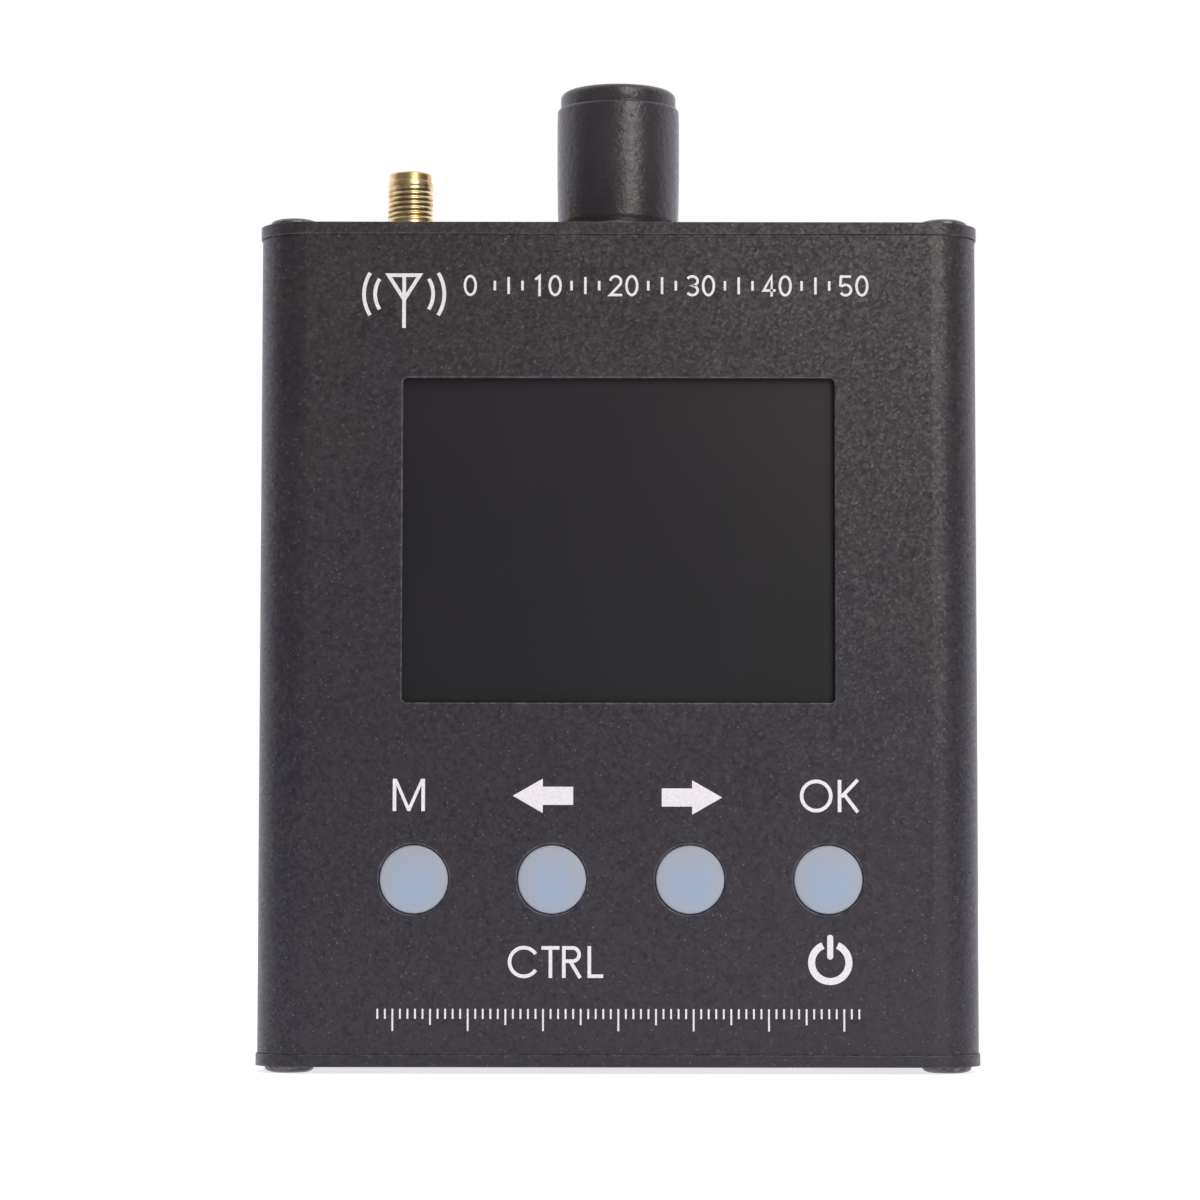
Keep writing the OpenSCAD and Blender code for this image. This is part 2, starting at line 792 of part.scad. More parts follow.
// pan-head screw: the head stands on z = 0 and the shank points down
module board_screw() {
    difference() {
        union() {
            translate([0, 0, -board_screw_l]) cylinder(r = board_screw_r, h = board_screw_l + eps);
            cylinder(r = board_head_r, h = board_head_h);
        }
        for (turn = [0, 90])
            rotate(turn) translate([-1.2, -0.3, board_head_h - 0.8]) cube([2.4, 0.6, 1]);
    }
}

module board_screws() {
    color("#c3c4c6") at_spacers() facing_front(0, board_y, 0) board_screw();
}

module rf_board_screws() {
    color("#c3c4c6") at_spacers() facing_back(0, rf_back_y, 0) board_screw();
}

// ---- battery ----

module battery_cell() {
    color("#b4b8bd") translate([0, wire_y, base_z + cell_z]) linear_extrude(cell_h) {
        square([cell_w - cell_t, cell_t], center = true);
        for (sx = [-1, 1]) translate([sx * (cell_w - cell_t) / 2, 0]) circle(cell_t / 2);
    }
}

module battery_tape() {
    tape_w = cell_w - cell_t - tape_in;
    color("#d8d5c8") translate([-tape_w / 2, inner_back_y - tape_t, base_z + cell_z + tape_in])
        cube([tape_w, tape_t, cell_h - 2 * tape_in]);
}

module battery_circuit() {
    color("#c28a2c") translate([plug_x - circuit_w / 2, wire_y - circuit_t / 2, wire_top_z])
        cube([circuit_w, circuit_t, circuit_h]);
}

// one wire: down from the cell's circuit, round a bend and forward to the plug
module battery_wire(x) {
    translate([x, wire_y, wire_top_z - wire_drop]) cylinder(r = wire_r, h = wire_drop);
    translate([x, wire_y - wire_bend, plug_z + wire_bend]) rotate([0, -90, 0]) rotate([0, 0, 90])
        rotate_extrude(angle = 90) translate([wire_bend, 0]) circle(wire_r);
    facing_back(x, plug_y + plug_l, plug_z)
        cylinder(r = wire_r, h = wire_y - wire_bend - plug_y - plug_l);
}

module battery_wire_red() {
    color("#b3201c") battery_wire(plug_x - wire_pitch / 2);
}

module battery_wire_black() {
    color("#19191a") battery_wire(plug_x + wire_pitch / 2);
}

module battery_plug() {
    color("#e8e6df") translate([plug_x - plug_w / 2, plug_y, plug_z - plug_h / 2])
        cube([plug_w, plug_l, plug_h]);
}

module battery_socket() {
    color("#e8e6df") difference() {
        translate([plug_x - plug_w / 2 - socket_wall, board_back_y, plug_z - plug_h / 2 - socket_wall])
            cube([plug_w + 2 * socket_wall, socket_l, plug_h + 2 * socket_wall]);
        translate([plug_x - plug_w / 2 - lay, board_back_y + 1, plug_z - plug_h / 2 - lay])
            cube([plug_w + 2 * lay, socket_l, plug_h + 2 * lay]);
    }
}

// ---- charging socket and lamp ----

module usb_shell() {
    color("#c2c4c6") translate([usb_x, usb_y, usb_mouth_z]) difference() {
        linear_extrude(usb_l) round_rect(usb_w, usb_t, 0.6);
        translate([0, 0, -1]) linear_extrude(usb_l - usb_sheet + 1)
            round_rect(usb_w - 2 * usb_sheet, usb_t - 2 * usb_sheet, 0.4);
    }
}

// contact tongue on a block that fills the back of the socket
module usb_insert() {
    block = 2.5;
    color("#19191a") translate([usb_x, usb_y, usb_mouth_z]) {
        translate([0, 0, usb_l - usb_sheet - lay - block]) linear_extrude(block)
            round_rect(usb_w - 2 * usb_sheet - lay, usb_t - 2 * usb_sheet - lay, 0.35);
        translate([-usb_w / 2 + 1.4, -0.4, 1.2])
            cube([usb_w - 2.8, 0.8, usb_l - usb_sheet - block - 1.2]);
    }
}

module charge_led() {
    color("#dfe8dc", 0.7) translate([led_x, led_y, led_z]) {
        sphere(led_r);
        cylinder(r = led_r, h = lens_l);
        translate([0, 0, lens_l - 1]) cylinder(r = led_r + 0.45, h = 1);
    }
}

module led_leads() {
    lead_w = 0.5;
    top = led_z + lens_l;
    color("#c9cacc") for (sx = [-1, 1]) {
        translate([led_x + sx * 1.27 / 2 - lead_w / 2, led_y - lead_w / 2, top])
            cube([lead_w, lead_w, 3]);
        translate([led_x + sx * 1.27 / 2 - lead_w / 2, board_back_y, top + 3 - lead_w])
            cube([lead_w, led_off, lead_w]);
    }
}

// ---- small coaxial jack ----

module sma_body() {
    thread_z0 = sma_washer_t + sma_nut_h + 0.1;
    rim_z = sma_top - sma_rim_h;
    turns = floor((rim_z - 0.3 - thread_z0) / sma_pitch);
    rear_z = -plate_t - sma_rear_l;
    hex_z = -plate_t - sma_hex_h;
    color("#c9a24b") translate([sma_x, 0, deck_z]) {
        rotate_extrude() polygon(concat(
            [[sma_insulator_r + fit, rear_z], [sma_rear_r, rear_z], [sma_rear_r, hex_z],
             [sma_neck_r, hex_z], [sma_neck_r, thread_z0], [sma_thread_r, thread_z0 + 0.15]],
            thread_points(sma_thread_r, sma_thread_depth, sma_pitch, thread_z0 + 0.2, turns),
            [[sma_thread_r, rim_z - 0.1], [sma_rim_r, rim_z + 0.1],
             [sma_rim_r, sma_top - 0.35], [sma_rim_r - 0.35, sma_top], [sma_mouth_r, sma_top],
             [sma_mouth_r, sma_top - sma_mouth_depth],
             [sma_insulator_r + fit, sma_top - sma_mouth_depth]]));
        translate([0, 0, hex_z]) difference() {
            hexagon(sma_af, sma_hex_h);
            translate([0, 0, -1]) cylinder(r = sma_neck_r - 0.3, h = sma_hex_h + 2);
        }
    }
}

module sma_dielectric() {
    rear = plate_t + sma_rear_l;
    color("#efeee9") translate([sma_x, 0, deck_z - rear])
        ring(sma_insulator_r, pin_r + fit, rear + sma_top - sma_mouth_depth);
}

// centre contact: a socket at the mouth and a solder pin that lies on the radio board
module sma_contact() {
    low_z = rf_top_z - pin_lap;
    mouth_z = deck_z + sma_top - sma_mouth_depth;
    color("#d4ad55") translate([sma_x, 0, low_z]) difference() {
        cylinder(r = pin_r, h = mouth_z - low_z);
        translate([0, 0, mouth_z - low_z - 3]) cylinder(r = pin_r - 0.18, h = 4);
    }
}

module sma_washer() {
    color("#c9a24b") translate([sma_x, 0, deck_z])
        ring(sma_thread_r + 1.3, sma_neck_r + fit, sma_washer_t);
}

module sma_nut() {
    color("#c9a24b") translate([sma_x, 0, deck_z + sma_washer_t]) difference() {
        hexagon(sma_af, sma_nut_h);
        translate([0, 0, -1]) cylinder(r = sma_neck_r + fit, h = sma_nut_h + 2);
    }
}

// ---- large coaxial jack and its dust cap ----

module n_body() {
    thread_z0 = n_flange_h + n_neck_l;
    turns = floor((n_top - thread_z0 - 1.2) / n_pitch);
    rear_z = n_inside_z - n_rear_l;
    bore = n_insulator_r + fit;
    color("#c3c1bb") translate([0, 0, deck_z]) {
        rotate_extrude() polygon(concat(
            [[bore, rear_z - n_tail_l], [n_tail_r, rear_z - n_tail_l], [n_tail_r, rear_z],
             [n_shank_r, rear_z],
             [n_shank_r, 0], [n_neck_r, 0], [n_neck_r, thread_z0], [n_thread_r, thread_z0 + 0.3]],
            thread_points(n_thread_r, n_thread_depth, n_pitch, thread_z0 + 0.4, turns),
            [[n_thread_r, n_top - 0.75], [n_thread_r - 0.6, n_top], [n_mouth_r, n_top],
             [n_mouth_r, n_top - n_mouth_depth], [bore, n_top - n_mouth_depth]]));
        difference() {
            rotate(30) hexagon(n_flange_af, n_flange_h);
            translate([0, 0, -1]) cylinder(r = n_neck_r - 0.3, h = n_flange_h + 2);
        }
    }
}

module n_dielectric() {
    rear_z = n_inside_z - 2 * n_rear_l;
    color("#efeee9") translate([0, 0, deck_z + rear_z])
        ring(n_insulator_r, n_contact_r + fit, n_top - n_mouth_depth - rear_z);
}

// centre contact: a slotted socket, its body, and a solder pin that lies on the radio board
module n_contact() {
    low_z = rf_top_z - pin_lap;
    body_z = deck_z + n_inside_z - 2 * n_rear_l;
    tip_z = deck_z + n_top - n_mouth_depth + n_contact_h;
    color("#d4ad55") difference() {
        union() {
            translate([0, 0, low_z]) cylinder(r = pin_r, h = body_z - low_z + eps);
            translate([0, 0, body_z]) cylinder(r = n_contact_r, h = tip_z - body_z);
        }
        translate([0, 0, tip_z - 4.2]) cylinder(r = 0.82, h = 5);
        for (turn = [0, 90])
            rotate(turn) translate([-2, -0.15, tip_z - 3.6]) cube([4, 0.3, 4]);
    }
}

module n_washer() {
    color("#b9babb") translate([0, 0, top_z - n_washer_t])
        ring(n_washer_r, n_shank_r + fit, n_washer_t);
}

module n_nut() {
    color("#b9babb") translate([0, 0, top_z - n_washer_t - n_nut_h]) difference() {
        hexagon(n_nut_af, n_nut_h);
        translate([0, 0, -1]) cylinder(r = n_shank_r + fit, h = n_nut_h + 2);
    }
}

// soft push-on cap: slightly barrel shaped, with a step ring and a rounded top
module dust_cap() {
    rim = n_flange_h + dust_lift;
    top = rim + dust_h;
    step = top - dust_step;
    bore = n_thread_r + dust_gap;
    ceiling = n_top + dust_air;
    corner = [for (a = [0 : 15 : 90])
        [dust_top_r - dust_round + dust_round * cos(a), top - 0.1 - dust_round + dust_round * sin(a)]];
    color("#252427") translate([0, 0, deck_z]) rotate_extrude() polygon(concat(
        [[bore, rim], [dust_base_r - 0.15, rim], [dust_base_r, rim + 0.15], [dust_base_r + 0.06, rim + 2.5],
         [dust_r - 0.03, rim + 5], [dust_r, rim + 7.5], [dust_r, step - 3],
         [dust_r - 0.03, step - 0.35], [dust_r - 0.16, step - 0.1], [dust_r - 0.35, step], [dust_top_r, step]],
        corner,
        [[dust_top_r / 2, top - 0.02], [0, top], [0, ceiling], [bore - 0.5, ceiling],
         [bore, ceiling - 0.5]]));
}

front_shell();
rear_shell();
top_end_plate();
bottom_end_plate();
top_plate_screws();
bottom_plate_screws();
window_pane();
window_gasket();
lcd_panel();
lcd_backlight();
lcd_carrier();
lcd_flex();
flex_connector();
menu_button();
left_button();
right_button();
ok_button();
menu_stem();
left_stem();
right_stem();
ok_stem();
switch_bases();
switch_covers();
switch_domes();
main_board();
main_board_chips();
rf_board();
rf_board_chips();
rf_shield_can();
board_standoffs();
board_screws();
rf_board_screws();
battery_cell();
battery_tape();
battery_circuit();
battery_wire_red();
battery_wire_black();
battery_plug();
battery_socket();
usb_shell();
usb_insert();
charge_led();
led_leads();
sma_body();
sma_dielectric();
sma_contact();
sma_nut();
sma_washer();
n_body();
n_dielectric();
n_contact();
n_washer();
n_nut();
dust_cap();
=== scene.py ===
# %% [markdown]
# # A hand-held antenna analyzer
#
# The object is a black aluminium box, 97 mm wide, 110 mm tall and 40 mm deep: two extruded halves held
# between two end plates, a display behind a window, four push keys, a small gold threaded jack and a large
# jack under a dust cap. Its shape comes finished from a CAD model. This lesson gives it its surfaces, its
# printed legends, real screw threads, light and a camera. Lengths are written in millimetres and turned
# into Blender's metres by one factor.

# %% Load the model
import math

import bmesh
import bpy
from mathutils import Matrix, Vector


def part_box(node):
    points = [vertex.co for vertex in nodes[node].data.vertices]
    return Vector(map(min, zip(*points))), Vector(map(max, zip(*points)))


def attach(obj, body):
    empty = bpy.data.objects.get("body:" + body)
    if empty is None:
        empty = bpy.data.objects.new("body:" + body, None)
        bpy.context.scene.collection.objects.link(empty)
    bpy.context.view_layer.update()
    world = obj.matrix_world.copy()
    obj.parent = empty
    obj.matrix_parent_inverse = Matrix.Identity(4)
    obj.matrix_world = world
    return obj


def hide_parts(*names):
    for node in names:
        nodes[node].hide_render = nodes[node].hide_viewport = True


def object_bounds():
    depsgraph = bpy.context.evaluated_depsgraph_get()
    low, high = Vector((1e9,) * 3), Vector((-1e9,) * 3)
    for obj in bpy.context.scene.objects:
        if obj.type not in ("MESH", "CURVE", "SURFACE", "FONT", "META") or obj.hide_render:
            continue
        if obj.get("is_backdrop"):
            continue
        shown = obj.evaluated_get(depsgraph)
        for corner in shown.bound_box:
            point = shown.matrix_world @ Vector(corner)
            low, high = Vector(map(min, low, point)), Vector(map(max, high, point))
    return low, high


MM = 0.001
TURN = math.tau
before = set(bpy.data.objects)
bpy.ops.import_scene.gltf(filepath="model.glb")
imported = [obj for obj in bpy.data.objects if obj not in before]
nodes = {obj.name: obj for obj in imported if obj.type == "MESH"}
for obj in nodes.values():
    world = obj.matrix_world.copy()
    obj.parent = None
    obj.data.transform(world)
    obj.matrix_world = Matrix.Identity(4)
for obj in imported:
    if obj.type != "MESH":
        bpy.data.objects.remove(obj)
cad_low, cad_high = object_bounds()
print("model:", len(nodes), "nodes, size in mm", [round(v / MM, 1) for v in cad_high - cad_low])

# %% [markdown]
# Every place in this lesson is worked out from the model. The front face is a plane, heights are counted
# from the extrusion's lower end, and the jacks are placed from the top plate's outer face, the deck.

# %% Planes and heights of the model
face_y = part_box("front_shell")[0].y / MM
shell_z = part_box("front_shell")[0].z / MM
deck_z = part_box("top_end_plate")[1].z / MM
print("front face at y", round(face_y, 2), "mm, extrusion from z", round(shell_z, 2), "mm")
print("deck at z", round(deck_z, 2), "mm")

# %% [markdown]
# ## The camera
#
# The photograph was taken with a long lens from about half a metre, a little left of the middle and low, at
# the height of the keys, tilted up by four degrees. So the deck isn't seen, and the box narrows slightly
# towards its top. A camera in Blender looks down its own -Z, so a quarter turn about X makes it look along
# +Y first, and the small tilts come on top.

# %% Camera
CAMERA_AT = (-3.0, -520.0, shell_z + 25.65)
CAMERA_TILT = 0.0697
CAMERA_ROLL = -0.0012
CAMERA_PAN = -0.001
LENS_MM = 112.38

camera_data = bpy.data.cameras.new("camera")
camera_data.lens = LENS_MM
camera_data.sensor_width = 36.0
camera_data.clip_start = 0.01
camera_data.clip_end = 50.0
camera = bpy.data.objects.new("camera", camera_data)
bpy.context.scene.collection.objects.link(camera)
aim = Matrix.Rotation(CAMERA_PAN, 4, "Z") @ Matrix.Rotation(CAMERA_TILT, 4, "X")
aim = aim @ Matrix.Rotation(CAMERA_ROLL, 4, "Y")
camera.matrix_world = Matrix.Translation(Vector(CAMERA_AT) * MM) @ aim @ Matrix.Rotation(TURN / 4, 4, "X")
bpy.context.scene.camera = camera
print("camera", round(-CAMERA_AT[1] + face_y), "mm in front of the face, lens", LENS_MM, "mm")

# %% [markdown]
# ## Colours and nodes
#
# Colours are picked as sRGB hex values, the way a picture editor shows them, but a shader adds and
# multiplies light, so it wants linear values. One function turns one into the other. A second function adds
# a node with its settings and links, which keeps each material short enough to read. Blender's type names
# of shader nodes all start with ShaderNode, so the function adds that part itself. What feeds a socket is
# either a socket or a node, whose first output is meant.

# %% Helpers for colours and nodes
def linear(hex_colour):
    """sRGB hex colour as linear RGBA."""
    channels = [int(hex_colour[i:i + 2], 16) / 255 for i in (1, 3, 5)]
    return (*[c / 12.92 if c <= 0.04045 else ((c + 0.055) / 1.055) ** 2.4 for c in channels], 1.0)


def add(tree, kind, inputs=None, **settings):
    """Adds a node; inputs maps a socket's name or number to a value or to what feeds it."""
    node = tree.nodes.new("ShaderNode" + kind)
    for name, value in settings.items():
        setattr(node, name, value)
    for name, value in (inputs or {}).items():
        if isinstance(value, bpy.types.Node):
            value = value.outputs[0]
        if isinstance(value, bpy.types.NodeSocket):
            tree.links.new(value, node.inputs[name])
        else:
            node.inputs[name].default_value = value
    return node


print("black anodised in linear values:", [round(c, 4) for c in linear("#2d292a")[:3]])

# %% [markdown]
# ## The studio
#
# The photograph has a pure white surround, yet the box is dark: the white is behind and above it, and the
# room on the camera's side is dim. So flat faces mirror something dark, and the round edges, which are seen
# at a low angle, mirror the white behind and get a bright rim. The world does the same. Its level follows
# the direction: dim in front and at the sides, white behind and, a little less, above. The camera itself
# always sees it as white. White begins where a direction's share along WHITE_TOWARDS passes WHITE_FROM.

# %% World and colour management
scene = bpy.context.scene
scene.view_settings.view_transform = "Standard"
FRONT_LEVEL = 0.208
BACK_LEVEL = 1.35
WHITE_TOWARDS = (0.0, 0.93, 0.37)
WHITE_FROM, WHITE_FULL = -0.16, 0.35

world = bpy.data.worlds.new("white_room")
world.use_nodes = True
world.node_tree.nodes.clear()
sky = world.node_tree
direction = add(sky, "TexCoord").outputs["Generated"]
depth = add(sky, "VectorMath", {0: direction, 1: WHITE_TOWARDS}, operation="DOT_PRODUCT")
level = add(sky, "MapRange", {
    "Value": depth.outputs["Value"], "From Min": WHITE_FROM, "From Max": WHITE_FULL,
    "To Min": FRONT_LEVEL, "To Max": BACK_LEVEL}, interpolation_type="SMOOTHSTEP").outputs[0]
seen = add(sky, "LightPath").outputs["Is Camera Ray"]
strength = add(sky, "Mix", {0: seen, 2: level, 3: 1.0}, data_type="FLOAT").outputs[0]
tint = add(sky, "Mix", {0: seen, 6: linear("#f6f4fd"), 7: linear("#ffffff")}, data_type="RGBA").outputs[2]
background = add(sky, "Background", {"Color": tint, "Strength": strength})
add(sky, "OutputWorld", {"Surface": background})
scene.world = world
print("world from", FRONT_LEVEL, "in front to", BACK_LEVEL, "behind")

# %% [markdown]
# One tall softbox is the only lamp. The streak on the dust cap and on the right edge, and the thin shadow
# that the window's top and right edges throw on the pane, all put it 24 degrees to the right of the camera
# and 30 degrees up. It is a trace warmer than the room. An area light's power is its radiance times its area
# times pi, so that is how it's set.

# %% Softbox
LAMP_AZIMUTH, LAMP_ELEVATION = 24, 30
LAMP_DISTANCE, LAMP_W, LAMP_H = 0.8, 0.35, 0.7
LAMP_RADIANCE = 5.1

light = bpy.data.lights.new("softbox", "AREA")
light.shape = "RECTANGLE"
light.size, light.size_y = LAMP_W, LAMP_H
light.energy = LAMP_RADIANCE * LAMP_W * LAMP_H * math.pi
light.color = linear("#fff9f3")[:3]
lamp = bpy.data.objects.new("softbox", light)
scene.collection.objects.link(lamp)
turn, rise = math.radians(LAMP_AZIMUTH), math.radians(LAMP_ELEVATION)
away = Vector((math.sin(turn) * math.cos(rise), -math.cos(turn) * math.cos(rise), math.sin(rise)))
lamp.location = (cad_low + cad_high) / 2 + away * LAMP_DISTANCE
lamp.rotation_euler = away.to_track_quat("Z", "Y").to_euler()
print("softbox", LAMP_W, "by", LAMP_H, "m,", round(light.energy, 2), "W")

# %% [markdown]
# The floor is a round pale card. It glows a little, as a light table does, so that it is as white as the
# wall and its edge can't be seen, and the box keeps only a faint shadow. It reaches far back and ends soon
# in front of the box, because a white floor there would light the dim side. From underneath it lets the
# view through.

# %% Floor
FLOOR_R = 1.2
FLOOR_BACK = 0.9
FLOOR_GLOW = 0.78
FLOOR_DROP = 0.02 * MM

card = bpy.data.materials.new("white_card")
card.use_nodes = True
card.node_tree.nodes.clear()
tree = card.node_tree
paper = add(tree, "BsdfPrincipled", {
    "Base Color": linear("#c8c8c8"), "Roughness": 0.9, "Specular IOR Level": 0.0,
    "Emission Color": linear("#fbf9ff"), "Emission Strength": FLOOR_GLOW})
clear = add(tree, "BsdfTransparent")
under = add(tree, "NewGeometry").outputs["Backfacing"]
either = add(tree, "MixShader", {0: under, 1: paper, 2: clear})
add(tree, "OutputMaterial", {"Surface": either})

disc = bmesh.new()
middle = Matrix.Translation((0, FLOOR_BACK, cad_low.z - FLOOR_DROP))
bmesh.ops.create_circle(disc, cap_ends=True, segments=128, radius=FLOOR_R, matrix=middle)
floor_mesh = bpy.data.meshes.new("floor")
disc.to_mesh(floor_mesh)
disc.free()
floor_mesh.materials.append(card)
floor = bpy.data.objects.new("floor", floor_mesh)
scene.collection.objects.link(floor)
floor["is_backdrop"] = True
print("floor from y", round(FLOOR_BACK - FLOOR_R, 2), "to", round(FLOOR_BACK + FLOOR_R, 2), "m")


# %% [markdown]
# ## Starting a material
#
# Each material begins with the place on the piece, in millimetres, so that every pattern below can be given
# its real size. It ends with one shader. The model's own pieces keep their meshes, and only the material in
# their slot is changed.

# %% Begin, end and apply a material
def begin(name):
    """A new empty material: the material, its node tree and the place on the piece in mm."""
    material = bpy.data.materials.new(name)
    material.use_nodes = True
    tree = material.node_tree
    tree.nodes.clear()
    place = add(tree, "TexCoord").outputs["Object"]
    scaled = add(tree, "VectorMath", {0: place, 1: (1 / MM, 1 / MM, 1 / MM)}, operation="MULTIPLY")
    return material, tree, scaled.outputs[0]


def end(tree, inputs):
    """Closes a material with a Principled shader that has these inputs."""
    shader = add(tree, "BsdfPrincipled", inputs)
    add(tree, "OutputMaterial", {"Surface": shader})


def dress(material, *names):
    """Gives model nodes this material."""
    for name in names:
        piece = nodes[name]
        if not piece.material_slots:
            piece.data.materials.append(material)
        for place in piece.material_slots:
            place.material = material
    print(material.name, "on", ", ".join(names))


print("patterns are sized in mm, 1 mm being", MM, "m")

# %% [markdown]
# Two patterns come back in several materials. Wear sits on the edges, which a rounded normal finds: where
# it leaves the flat one there is an edge. And specks of dust or nicks are dots in a few cells of a Voronoi
# pattern, those whose random colour is high enough.

# %% Worn edges and specks
def worn_edge(tree, radius_mm, samples, starts, full, most=1.0):
    """The rounded normal and the wear, between the two shares of agreement where it starts and is full."""
    rounded = add(tree, "Bevel", {"Radius": radius_mm * MM}, samples=samples).outputs[0]
    flat = add(tree, "NewGeometry").outputs["True Normal"]
    same = add(tree, "VectorMath", {0: rounded, 1: flat}, operation="DOT_PRODUCT")
    wear = add(tree, "MapRange", {
        "Value": same.outputs["Value"], "From Min": starts, "From Max": full, "To Min": 0.0, "To Max": most})
    return rounded, wear.outputs[0]


def specks(tree, mm, cell_mm, channel, above, inner, outer, most):
    """Round specks in the cells whose random colour is above a limit in this channel."""
    cells = add(tree, "TexVoronoi", {"Vector": mm, "Scale": 1 / cell_mm})
    lucky = add(tree, "SeparateColor", {0: cells.outputs["Color"]})
    few = add(tree, "Math", {0: lucky.outputs[channel], 1: above}, operation="GREATER_THAN")
    speck = add(tree, "MapRange", {
        "Value": cells.outputs["Distance"], "From Min": inner, "From Max": outer,
        "To Min": most, "To Max": 0.0})
    return add(tree, "Math", {0: few, 1: speck}, operation="MULTIPLY").outputs[0]


print("edges and specks ready")

# %% [markdown]
# ## Sandblasted, anodised aluminium
#
# The halves and end plates are extruded or cut aluminium, blasted with grit and anodised black. The dyed
# oxide is a hard, slightly glassy film, its pores sealed, index near 1.5, on roughened metal. Two things
# tell it from paint. The blast leaves countless small facets, each tilted its own way, so the ones that
# face the lamp flash. And the dye is a touch uneven, browner here and bluer there. Over that, painted shade
# makes the colour lighter and browner at the top and darker and bluer towards the bottom. Real grit marks
# are near 0.1 mm, finer than a pixel, so a facet is drawn 0.33 mm wide. Each one is a Voronoi cell whose
# random colour tilts the normal. A few deep grit marks have lost their dye: there the bare metal glints.
# The blast rounds sharp edges, more on the extrusion than on the plates, and they lose a little dye and
# are paler; part of that paleness is a painted highlight along the edges.

# %% Anodised aluminium
FACET_MM = 0.33
FACET_TILT = 0.15
FLASH_MM = 0.34
PIT_MM = 0.7
CLOUD_MM = 9.0


def anodised(name, top_dye_painted_lit, bottom_dye_painted_shade, edge_mm):
    """Black anodised, blasted aluminium, with painted shade: warm and lighter on top, cool and darker below.
    """
    material, tree, mm = begin(name)
    cloud = add(tree, "TexNoise", {"Vector": mm, "Scale": 1 / CLOUD_MM, "Detail": 2.0})
    # painted shade: lighter dye at the top, darker below; the cloud adds uneven dye
    height = add(tree, "SeparateXYZ", {0: mm}).outputs["Z"]
    depth = add(tree, "MapRange", {
        "Value": height, "From Min": deck_z, "From Max": shell_z, "To Min": -0.3, "To Max": 0.8})
    share = add(tree, "Math", {0: depth, 1: cloud.outputs["Fac"]}, operation="ADD", use_clamp=True)
    dye_and_painted_shade = add(tree, "Mix", {0: share, 6: linear(top_dye_painted_lit), 7: linear(bottom_dye_painted_shade)}, data_type="RGBA")
    pits = add(tree, "TexNoise", {"Vector": mm, "Scale": 1 / PIT_MM, "Detail": 3.0})
    mottle = add(tree, "MapRange", {
        "Value": pits.outputs["Fac"], "From Min": 0.3, "From Max": 0.7, "To Min": 0.8, "To Max": 1.25})
    grained = add(tree, "VectorMath", {0: dye_and_painted_shade.outputs[2], "Scale": mottle}, operation="SCALE")

    # about one cell in ten is a deep grit mark, as a dot smaller than the cell
    cells = add(tree, "TexVoronoi", {"Vector": mm, "Scale": 1 / FLASH_MM})
    lucky = add(tree, "SeparateColor", {0: cells.outputs["Color"]})
    chosen = add(tree, "MapRange", {
        "Value": lucky, "From Min": 0.91, "From Max": 1.0, "To Min": 0.0, "To Max": 0.8})
    dot = add(tree, "MapRange", {
        "Value": cells.outputs["Distance"], "From Min": 0.15, "From Max": 0.45,
        "To Min": 1.0, "To Max": 0.0})
    flash = add(tree, "Math", {0: chosen, 1: dot}, operation="MULTIPLY")

    # the edges are rubbed paler in spots, partly wear and partly a painted highlight
    rounded, edge = worn_edge(tree, edge_mm, 6, 0.98, 0.84)
    rubbed = add(tree, "MapRange", {
        "Value": pits.outputs["Fac"], "From Min": 0.38, "From Max": 0.62, "To Min": 0.2, "To Max": 1.0})
    wear_and_painted_highlight = add(tree, "Math", {0: edge, 1: rubbed}, operation="MULTIPLY")
    bare = add(tree, "Math", {0: flash, 1: 0.7}, operation="MULTIPLY")
    bare_wear_and_painted_highlight = add(tree, "Math", {0: flash, 1: wear_and_painted_highlight}, operation="MAXIMUM")
    colour = add(tree, "Mix", {0: bare_wear_and_painted_highlight, 6: grained, 7: linear("#747377")}, data_type="RGBA")

    # every facet tilts the normal its own way
    facets = add(tree, "TexVoronoi", {"Vector": mm, "Scale": 1 / FACET_MM})
    lean = add(tree, "VectorMath", {0: facets.outputs["Color"], 1: (0.5, 0.5, 0.5)}, operation="SUBTRACT")
    tilted = add(tree, "VectorMath", {
        0: lean, 1: (FACET_TILT, FACET_TILT, FACET_TILT), 2: rounded}, operation="MULTIPLY_ADD")
    normal = add(tree, "VectorMath", {0: tilted}, operation="NORMALIZE")
    rough = add(tree, "MapRange", {
        "Value": pits.outputs["Fac"], "From Min": 0.3, "From Max": 0.7, "To Min": 0.33, "To Max": 0.43})
    end(tree, {"Base Color": colour.outputs[2], "Metallic": bare, "Roughness": rough,
               "IOR": 1.52, "Normal": normal})
    return material


dress(anodised("anodised_extrusion", "#2d292a", "#201d26", 0.42), "front_shell", "rear_shell")
dress(anodised("anodised_plate", "#302c2d", "#201d26", 0.2), "top_end_plate", "bottom_end_plate")

# %% [markdown]
# ## Black-oxidised screws
#
# The pan-head screws are steel, oxidised black in a hot bath and oiled. The oxide is so thin that the steel
# still mirrors through it, so it is a dark metal, smoother than the blasted plates: the heads pick up the
# white floor below them, and the edges of the cross recess shine where a driver has turned.

# %% Black oxide
STAIN_MM = 0.8
WORN_EDGE_MM = 0.15


